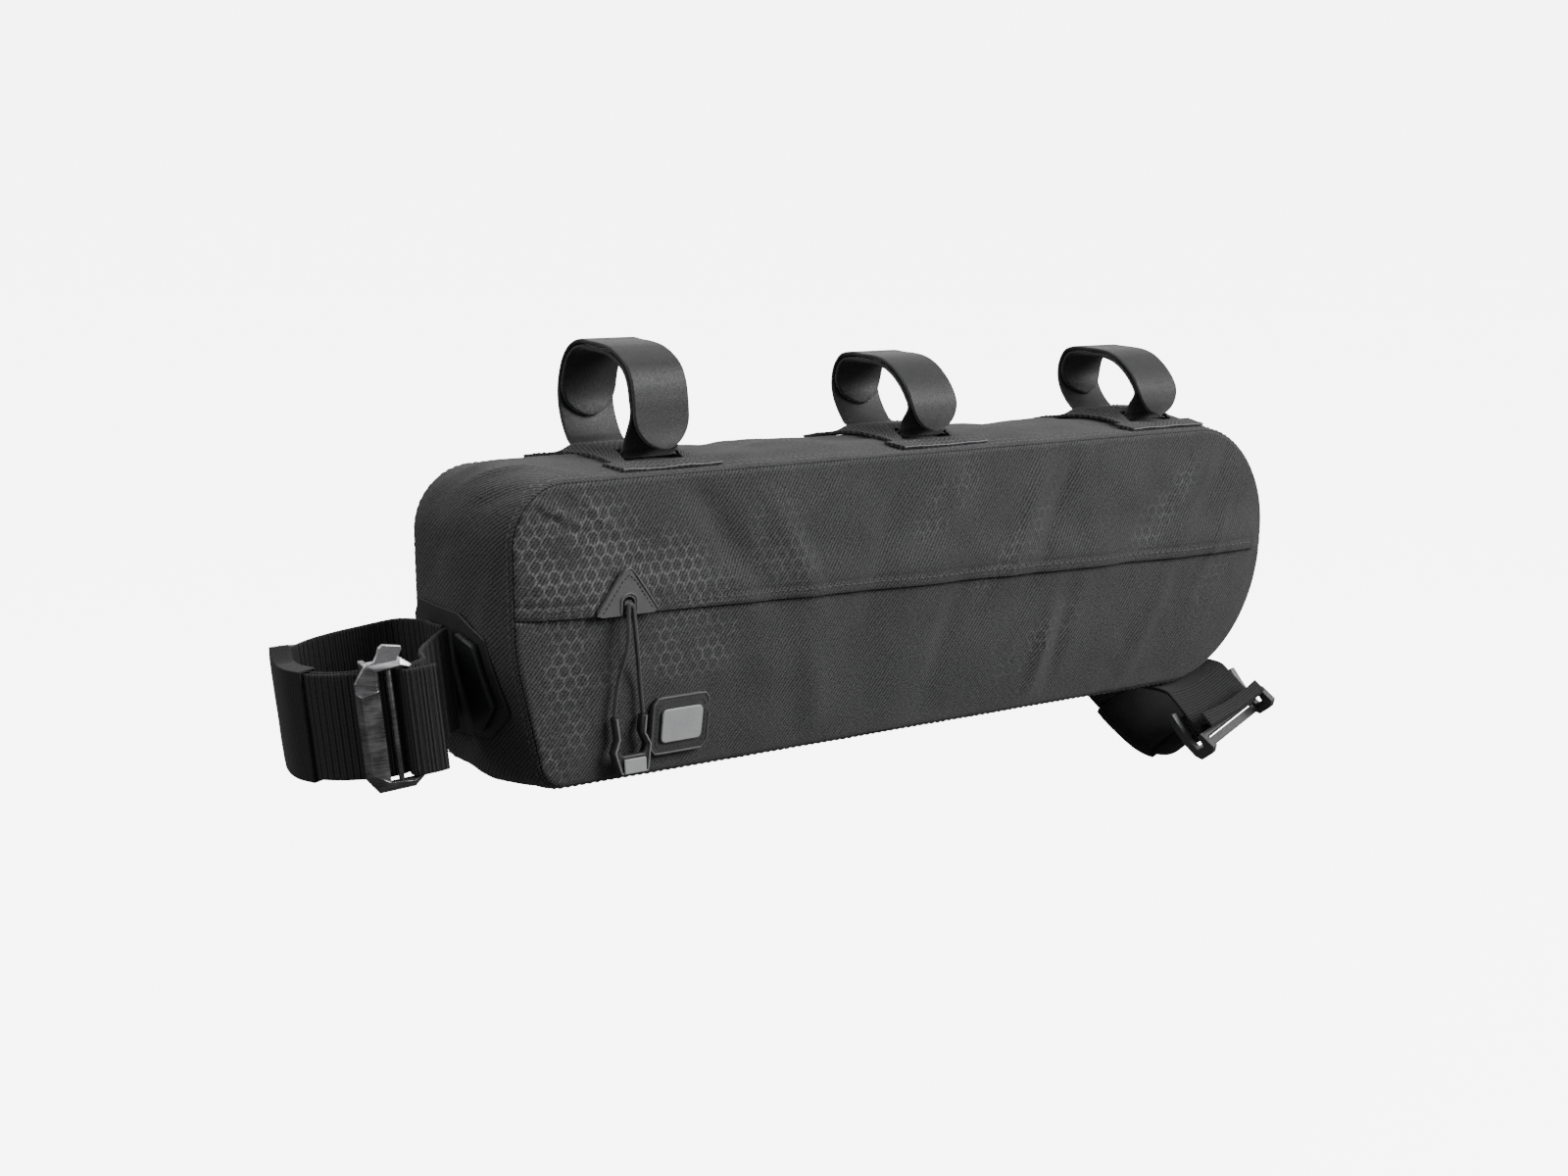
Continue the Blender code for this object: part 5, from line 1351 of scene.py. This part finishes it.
def top_patches():
    """The sewn patches on the top. Each one's raised middle bridges its strap between two slots."""
    for name, centre, _, _ in TOP_LOOPS:
        half_length, half_width, waist = PATCH_LENGTH / 2, PATCH_WIDTH / 2, PATCH_WAIST / 2
        slot = TOP_STRAP_WIDTH / 2 + 0.0006
        lines_along = split_lines([-half_length, -waist, -slot, 0.0, slot, waist, half_length], 6)
        far, near = PATCH_SLOT_FAR, PATCH_SLOT_NEAR
        lines_across = split_lines([-half_width, -far - 0.001, -far, -near, 0.0, near, far, half_width], 6)

        def seat(first, second):
            flat = ease((abs(second) - near) / (far - near))
            lift = PATCH_LIFT * (1 - flat) * (1 - 0.9 * ease((abs(first) - slot) / (waist - slot)))
            wave = 0.0004 * noise.noise(Vector((first * 90 + centre * 40, second * 90, 5.0)))
            humps = 0.0
            for hump_along, half_size, hump in TOP_HUMPS:
                humps += hump * math.exp(-(((centre + first - hump_along) / half_size) ** 2))
            lift += wave + 0.5 * max(0.0, humps)
            return top_height(centre + first, second) + GAP + PATCH_WALL + lift

        def place(u, v):
            first = lines_along[round(u * (len(lines_along) - 1))]
            second = lines_across[round(v * (len(lines_across) - 1))]
            if abs(first) > waist + GAP and far < abs(second) < 0.94 * half_width:
                first *= 0.97
            if first < 0 and second < -half_width + 0.0116:
                first = max(first, -half_length + 0.0044 * (1 - (second + half_width) / 0.0116))
            return Vector((centre + first, second, seat(first, second)))

        def cloth(u, v):
            return (centre + u * PATCH_LENGTH, v * PATCH_WIDTH)

        shape = grid(len(lines_along) - 1, len(lines_across) - 1, place, cloth)
        holes = []
        for face in shape.faces:
            middle = face.calc_center_median()
            aside = abs(middle.x - centre)
            in_slot = aside < slot and near < abs(middle.y) < far
            if in_slot or (aside > waist and abs(middle.y) < far):
                holes.append(face)
        bmesh.ops.delete(shape, geom=holes, context="FACES")
        made = piece("patch_" + name, shape, CLOTH, "patch_rubber", ("top_patch_" + name,))
        walled(made, PATCH_WALL, 0.00025)

        def on_patch(first, second, lift):
            return Vector((centre + first, second, seat(first, second) + lift))

        def row_of_stitches(label, start, end, count, second, length):
            firsts = [start + (end - start) * step / (count - 1) for step in range(count)]
            row = [(on_patch(first, second, 0.0001), Vector((0.0, 0.0, 1.0))) for first in firsts]
            stitches("patch_%s_%s" % (name, label), row, THREAD, "patch_rubber", length, 0.0008)

        for side in (-1, 1):
            for number, inset in enumerate((0.0022, 0.0050)):
                start = -half_length + (0.006 if side < 0 else 0.002)
                label = "stitches_%d_%d" % (side + 1, number)
                row_of_stitches(label, start, half_length - 0.002, 30, side * (half_width - inset), 0.0017)
            edge = []
            start = -half_length + (0.0046 if side < 0 else 0.0)
            for step in range(60):
                first = start + (half_length - start) * step / 59
                fray = 0.00015 * noise.noise(Vector((first * 900, centre * 50, side)))
                second = side * (half_width + 0.0001)
                edge.append(on_patch(first, second, fray - 0.0003) + Vector((0.0, fray, 0.0)))
            tube("patch_%s_raw_edge_%d" % (name, side + 1), edge, 0.00022, 6, PALE_EDGE)
        for side in (-1, 1):
            row_of_stitches("bridge_%d" % (side + 1), -slot, slot, 24, side * (near - 0.0016), 0.0015)


def tail_frame():
    """The tail strap's own directions: out from the tail's face, across the bag, and up along the face."""
    sine, cosine = math.sin(TAIL_TILT), math.cos(TAIL_TILT)
    out = GAP + TAIL_PATCH_WALL
    foot = Vector((tail_place(TAIL_STRAP_HEIGHT, 0.0) - out, 0.0, TAIL_STRAP_HEIGHT))

    def place(first, second, across):
        out_and_up = Vector((-cosine, 0.0, -sine)) * first + Vector((-sine, 0.0, cosine)) * across
        return foot + out_and_up + Vector((0.0, second, 0.0))

    def on_patch(across):
        stands = []
        for share in (-1.0, -0.5, 0.0, 0.5, 1.0):
            height = TAIL_STRAP_HEIGHT + WEBBING_WIDTH / 2 * share
            inward = tail_place(height, across) - out - foot.x
            stands.append(-cosine * inward - sine * (height - foot.z))
        return Vector((max(stands) + WEBBING_WALL / 2 + 2 * GAP, across))

    return place, on_patch


def tail_loop():
    """The strap round the seat tube, its buckle and its keeper."""
    place, on_patch = tail_frame()

    def shares(rows):
        return [Vector((first * TAIL_LOOP_REACH, second * HALF)) for first, second in rows]

    turn = TAIL_BUCKLE_TURN
    seat = shares([TAIL_BUCKLE_PLACE])[0]
    along = Vector((-math.cos(turn), -math.sin(turn)))
    outward = Vector((math.sin(turn), -math.cos(turn)))

    def buckle_place(first, second, third):
        spot = seat + along * first + outward * third
        return place(spot.x, spot.y, second)

    tail_buckle(buckle_place)

    # Behind the buckle the strap turns back on itself, and its free end runs outside the loop
    bar = seat + along * TAIL_FOLD_ALONG - outward * TAIL_FOLD_BEHIND
    heading = math.atan2(-outward.y, -outward.x)
    round_bar = turn_round(bar, TAIL_FOLD_RADIUS, heading, math.pi, 10)
    near = smooth_curve(shares(TAIL_STRAP_ROUTE)[-5:] + [round_bar[0] - along * 0.006, round_bar[0]], 0.001)
    outside = beside(near, LAYER)[::-1]
    free_end = [point for point in outside if (point - round_bar[-1]).length > 0.016][::5]
    loop = [on_patch(across) for across in TAIL_SEWN_PLACES] + shares(TAIL_STRAP_ROUTE)
    loop += [round_bar[0] - along * 0.006]
    route = smooth_curve(loop + round_bar + [round_bar[-1] - along * 0.0062] + free_end, 0.00026)
    half_at = straight(WEBBING_WIDTH / 2)
    finish = (WEBBING, "webbing", ("tail_strap",))
    band("tail_loop", route, half_at, WEBBING_WALL, place, *finish, rib=TAIL_RIB, pitch=2 * RIB_PITCH)

    fold = seat + along * ANCHOR_FOLD_ALONG
    round_fold = turn_round(fold, ANCHOR_FOLD_RADIUS, heading, -math.pi, 10)
    last = round_fold[-1]
    end = [last + along * 0.005, last + along * 0.0088 - outward * 0.0006]
    sewn = on_patch(0.0005) + Vector((0.0008, 0.0))
    route = smooth_curve([sewn] + shares(TAIL_ANCHOR_ROUTE) + round_fold + end, 0.00026)
    finish = (WEBBING, "webbing", ("tail_anchor_strap",))
    band("tail_anchor", route, half_at, WEBBING_WALL, place, *finish, rib=TAIL_RIB, pitch=RIB_PITCH * 1.3)

    turn_part = smooth_curve(shares(TAIL_STRAP_ROUTE)[5:10], 0.001)
    middle = beside(turn_part, LAYER / 2)
    inner = (LAYER + WEBBING_WALL) / 2 + 2 * GAP
    finish = (KEEPER, "smooth_lining", ("tail_strap_keeper",))
    sleeve("keeper", middle, inner, SLEEVE_WALL, WEBBING_WIDTH / 2, place, KEEPER_EAR, *finish)


def tail_buckle(place):
    """A faceted ladder buckle with a hook above, two legs and a rear bar."""
    rows = [tuple(value / 1000 for value in row) for row in BUCKLE_FRAME]
    count = len(rows)

    def put(u, v):
        row = rows[round(u * count) % count]
        outer, ridge, height, window = row[:2], row[2:4], row[4], row[5:]
        ring = (
            (*outer, BUCKLE_RIM),
            (*ridge, height),
            (*window, 0.7 * height),
            (*window, BUCKLE_BACK),
            (*outer, BUCKLE_BACK),
        )
        return place(*ring[round(v * 5) % 5])

    shape = grid(count, 5, put)
    bmesh.ops.remove_doubles(shape, verts=shape.verts, dist=1e-7)

    def flat(corners):
        return [Vector((first / 1000, second / 1000)) for first, second in corners]

    def upright(first, second, third):
        return place(first, third, second)

    def lean(first, second, third):
        return place(first, second, third + 0.0002 + 0.22 * max(0.0, second - 0.0215))

    def across(first, second, third):
        return place(third, first, second)

    for name, part in (
        ("frame", shape),
        ("thin_bar", pushed(flat(BUCKLE_BAR), upright, -0.0195, 0.0195)),
        ("hook", pushed(flat(BUCKLE_HOOK), lean, -0.0009, 0.0009)),
        ("rear_bar", pushed(flat(BUCKLE_LEGS), across, -0.0082, -0.0062)),
    ):
        bmesh.ops.recalc_face_normals(part, faces=part.faces)
        replaced = ("tail_buckle",) if name == "frame" else ()
        made = piece("tail_buckle_" + name, part, BUCKLE_METAL, "gunmetal", replaced, 20)
        soften(made, 0.00035, 3, 12)


def nose_loop():
    """The strap round the down tube, sewn below the nose, with its sleeve."""
    sine, cosine = math.sin(NOSE_TILT), math.cos(NOSE_TILT)
    along, down = Vector((cosine, 0.0, sine)), Vector((sine, 0.0, -cosine))
    radius, shift = NOSE_FOOT_RADIUS, NOSE_SEAT_SHIFT
    centre = Vector((LENGTH - radius, 0.0, SEAM_CORNERS[NOSE_FOOT][1] * HEIGHT + radius))
    seat = centre - along * shift + down * math.sqrt(radius**2 - shift**2)
    crown = crown_at(Vector((sine, -cosine)))

    def place(first, second, across):
        sag = math.sqrt(radius**2 - (across - shift) ** 2) - math.sqrt(radius**2 - shift**2)
        settled = sag * max(0.0, 1 - max(0.0, second - crown) / NOSE_SETTLE)
        return seat + along * across + down * (second + settled) + Vector((0.0, first, 0.0))

    def on_base(across):
        return Vector((across * HALF, crown * bow(across * HALF) + WEBBING_WALL / 2 + 2 * GAP))

    def shares(rows):
        return [Vector((first * HALF, second * NOSE_LOOP_DROP)) for first, second in rows]

    turn = NOSE_BUCKLE_TURN
    bar = shares([NOSE_BUCKLE_PLACE])[0]
    onward = Vector((-math.cos(turn), math.sin(turn)))
    outward = Vector((-math.sin(turn), -math.cos(turn)))

    def buckle_point(first, second):
        return bar + (onward * first + outward * second) * NOSE_BUCKLE_LENGTH

    half = straight(WEBBING_WIDTH / 2)
    wrap = NOSE_BUCKLE_LENGTH * 0.044 * math.sqrt(2) + WEBBING_WALL / 2 + 2 * GAP + 0.0002 + NOSE_FOLD_SPREAD
    heading = math.atan2(-outward.y, -outward.x)
    fold = turn_round(bar + onward * NOSE_FOLD_SPREAD, wrap, heading, -math.pi, 12)
    sewn = [on_base(NOSE_SEWN_EDGES[2]), on_base(NOSE_SEWN_EDGES[3])]
    route = sewn + shares(NOSE_ANCHOR_ROUTE) + [fold[0] - onward * 0.006]
    route = smooth_curve(route + fold + [fold[-1] - onward * 0.0055], 0.00023)
    finish = (WEBBING, "webbing", ("nose_anchor_strap",))
    band("nose_anchor", route, half, WEBBING_WALL, place, *finish, rib=NOSE_RIB)
    sewn = [on_base(NOSE_SEWN_EDGES[1]), on_base(NOSE_SEWN_EDGES[0])]
    route = sewn + shares(NOSE_STRAP_ROUTE) + [buckle_point(*row) for row in NOSE_STRAP_END]
    route = smooth_curve(route, 0.00023)
    finish = (WEBBING, "webbing", ("nose_strap",))
    band("nose_loop", route, half, WEBBING_WALL, place, *finish, rib=NOSE_RIB)
    wrapped = route[round(0.30 * len(route)) : round(0.62 * len(route)) : 5]
    inner = WEBBING_WALL / 2 + 2 * GAP
    finish = (KEEPER, "smooth_lining", ("nose_strap_sleeve",))
    sleeve("nose_sleeve", wrapped, inner, SLEEVE_WALL, WEBBING_WIDTH / 2, place, 0.0, *finish)


# Camera, light and floor


def camera_and_light():
    azimuth, elevation, roll = map(math.radians, CAMERA_TURNS)
    level = Vector((math.sin(azimuth), -math.cos(azimuth), 0.0)) * math.cos(elevation)
    back = level + Vector((0.0, 0.0, math.sin(elevation)))
    right = (-back).cross(Vector((0.0, 0.0, 1.0))).normalized()
    up = right.cross(-back)
    turned = right * math.cos(roll) + up * math.sin(roll)
    risen = up * math.cos(roll) - right * math.sin(roll)
    data = bpy.data.cameras.new("camera")
    data.lens = CAMERA_LENS
    data.sensor_width = 36.0
    data.clip_end = 50.0
    camera = bpy.data.objects.new("camera", data)
    place = Matrix((turned, risen, back)).transposed().to_4x4()
    place.translation = Vector(CAMERA_PLACE) - ORIGIN
    camera.matrix_world = place
    bpy.context.scene.collection.objects.link(camera)
    bpy.context.scene.camera = camera

    def light(name, spot, size, power):
        lamp = bpy.data.lights.new(name, "AREA")
        lamp.shape = "RECTANGLE"
        lamp.size, lamp.size_y = size
        lamp.energy = power
        made = bpy.data.objects.new(name, lamp)
        aim = (-Vector(spot)).to_track_quat("-Z", "Y").to_matrix().to_4x4()
        made.matrix_world = Matrix.Translation(spot) @ aim
        bpy.context.scene.collection.objects.link(made)

    light("key_light", (0.75, -1.30, 0.85), (1.1, 0.9), 40.0)
    light("top_light", (0.0, 0.25, 1.5), (1.2, 0.8), 10.0)
    light("tail_light", (-1.4, 0.15, 0.55), (0.6, 0.8), 5.5)

    world = bpy.data.worlds.new("studio")
    world.use_nodes = True
    tree = world.node_tree
    way = tree.nodes.new("ShaderNodeTexCoord")
    parts = tree.nodes.new("ShaderNodeSeparateXYZ")
    glow = tree.nodes.new("ShaderNodeMapRange")
    glow.interpolation_type = "SMOOTHSTEP"
    for key, value in (("From Min", -0.25), ("From Max", 0.25), ("To Min", 0.10), ("To Max", 0.42)):
        glow.inputs[key].default_value = value
    tree.links.new(way.outputs["Generated"], parts.inputs[0])
    tree.links.new(parts.outputs[2], glow.inputs["Value"])
    tree.links.new(glow.outputs[0], tree.nodes["Background"].inputs[1])
    tree.nodes["Background"].inputs[0].default_value = (1.0, 1.0, 1.0, 1.0)
    bpy.context.scene.world = world

    # A pale floor that sweeps up to a wall all round, far away
    sweep = bmesh.new()
    bmesh.ops.create_uvsphere(sweep, u_segments=64, v_segments=48, radius=7.0)
    for point in sweep.verts:
        point.co.z = max(point.co.z, -0.30)
    bmesh.ops.remove_doubles(sweep, verts=sweep.verts, dist=0.001)
    bmesh.ops.reverse_faces(sweep, faces=sweep.faces)
    mesh = bpy.data.meshes.new("floor")
    sweep.to_mesh(mesh)
    sweep.free()
    mesh.shade_smooth()
    pale = Finish("pale_floor", 0.9, Emission_Strength=6.5, Emission_Color=(1.0, 1.0, 1.0, 1.0))
    pale.colour((0.80, 0.80, 0.80))
    mesh.materials.append(pale.material)
    made = bpy.data.objects.new("floor", mesh)
    made.visible_diffuse = False
    made.visible_glossy = False
    made.visible_shadow = False
    made.visible_transmission = False
    bpy.context.scene.collection.objects.link(made)


camera_and_light()
zip_side()
back_side()
gusset_side()
seam_threads()
sewn_details()
top_loops()
top_patches()
tail_loop()
nose_loop()

for name, finish in (("zip_slider", GUNMETAL), ("zip_tape", TAPE)):
    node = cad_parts[name]
    node.data.materials.clear()
    node.data.materials.append(finish)

for name, bevel, finish, slot_name in (
    ("zip_garage", 0.0004, ZIP_PATCH_RUBBER, "patch_rubber"),
    ("zip_pull", 0.0007, DARK_RUBBER, "patch_rubber"),
    ("zip_pull_tip", 0.0003, PALE, "pale_grey"),
    ("badge", 0.0006, RUBBER, "patch_rubber"),
    ("badge_plate", 0.0004, PALE, "pale_grey"),
    ("tail_patch", 0.0004, DARK_RUBBER, "patch_rubber"),
    ("tail_pocket", 0.0008, LINING, "smooth_lining"),
    ("nose_buckle", 0.0005, NOSE_METAL, "gunmetal"),
    ("pull_cord", 0.0001, CORD, "cord"),
):
    refined(name, bevel, finish, slot_name)
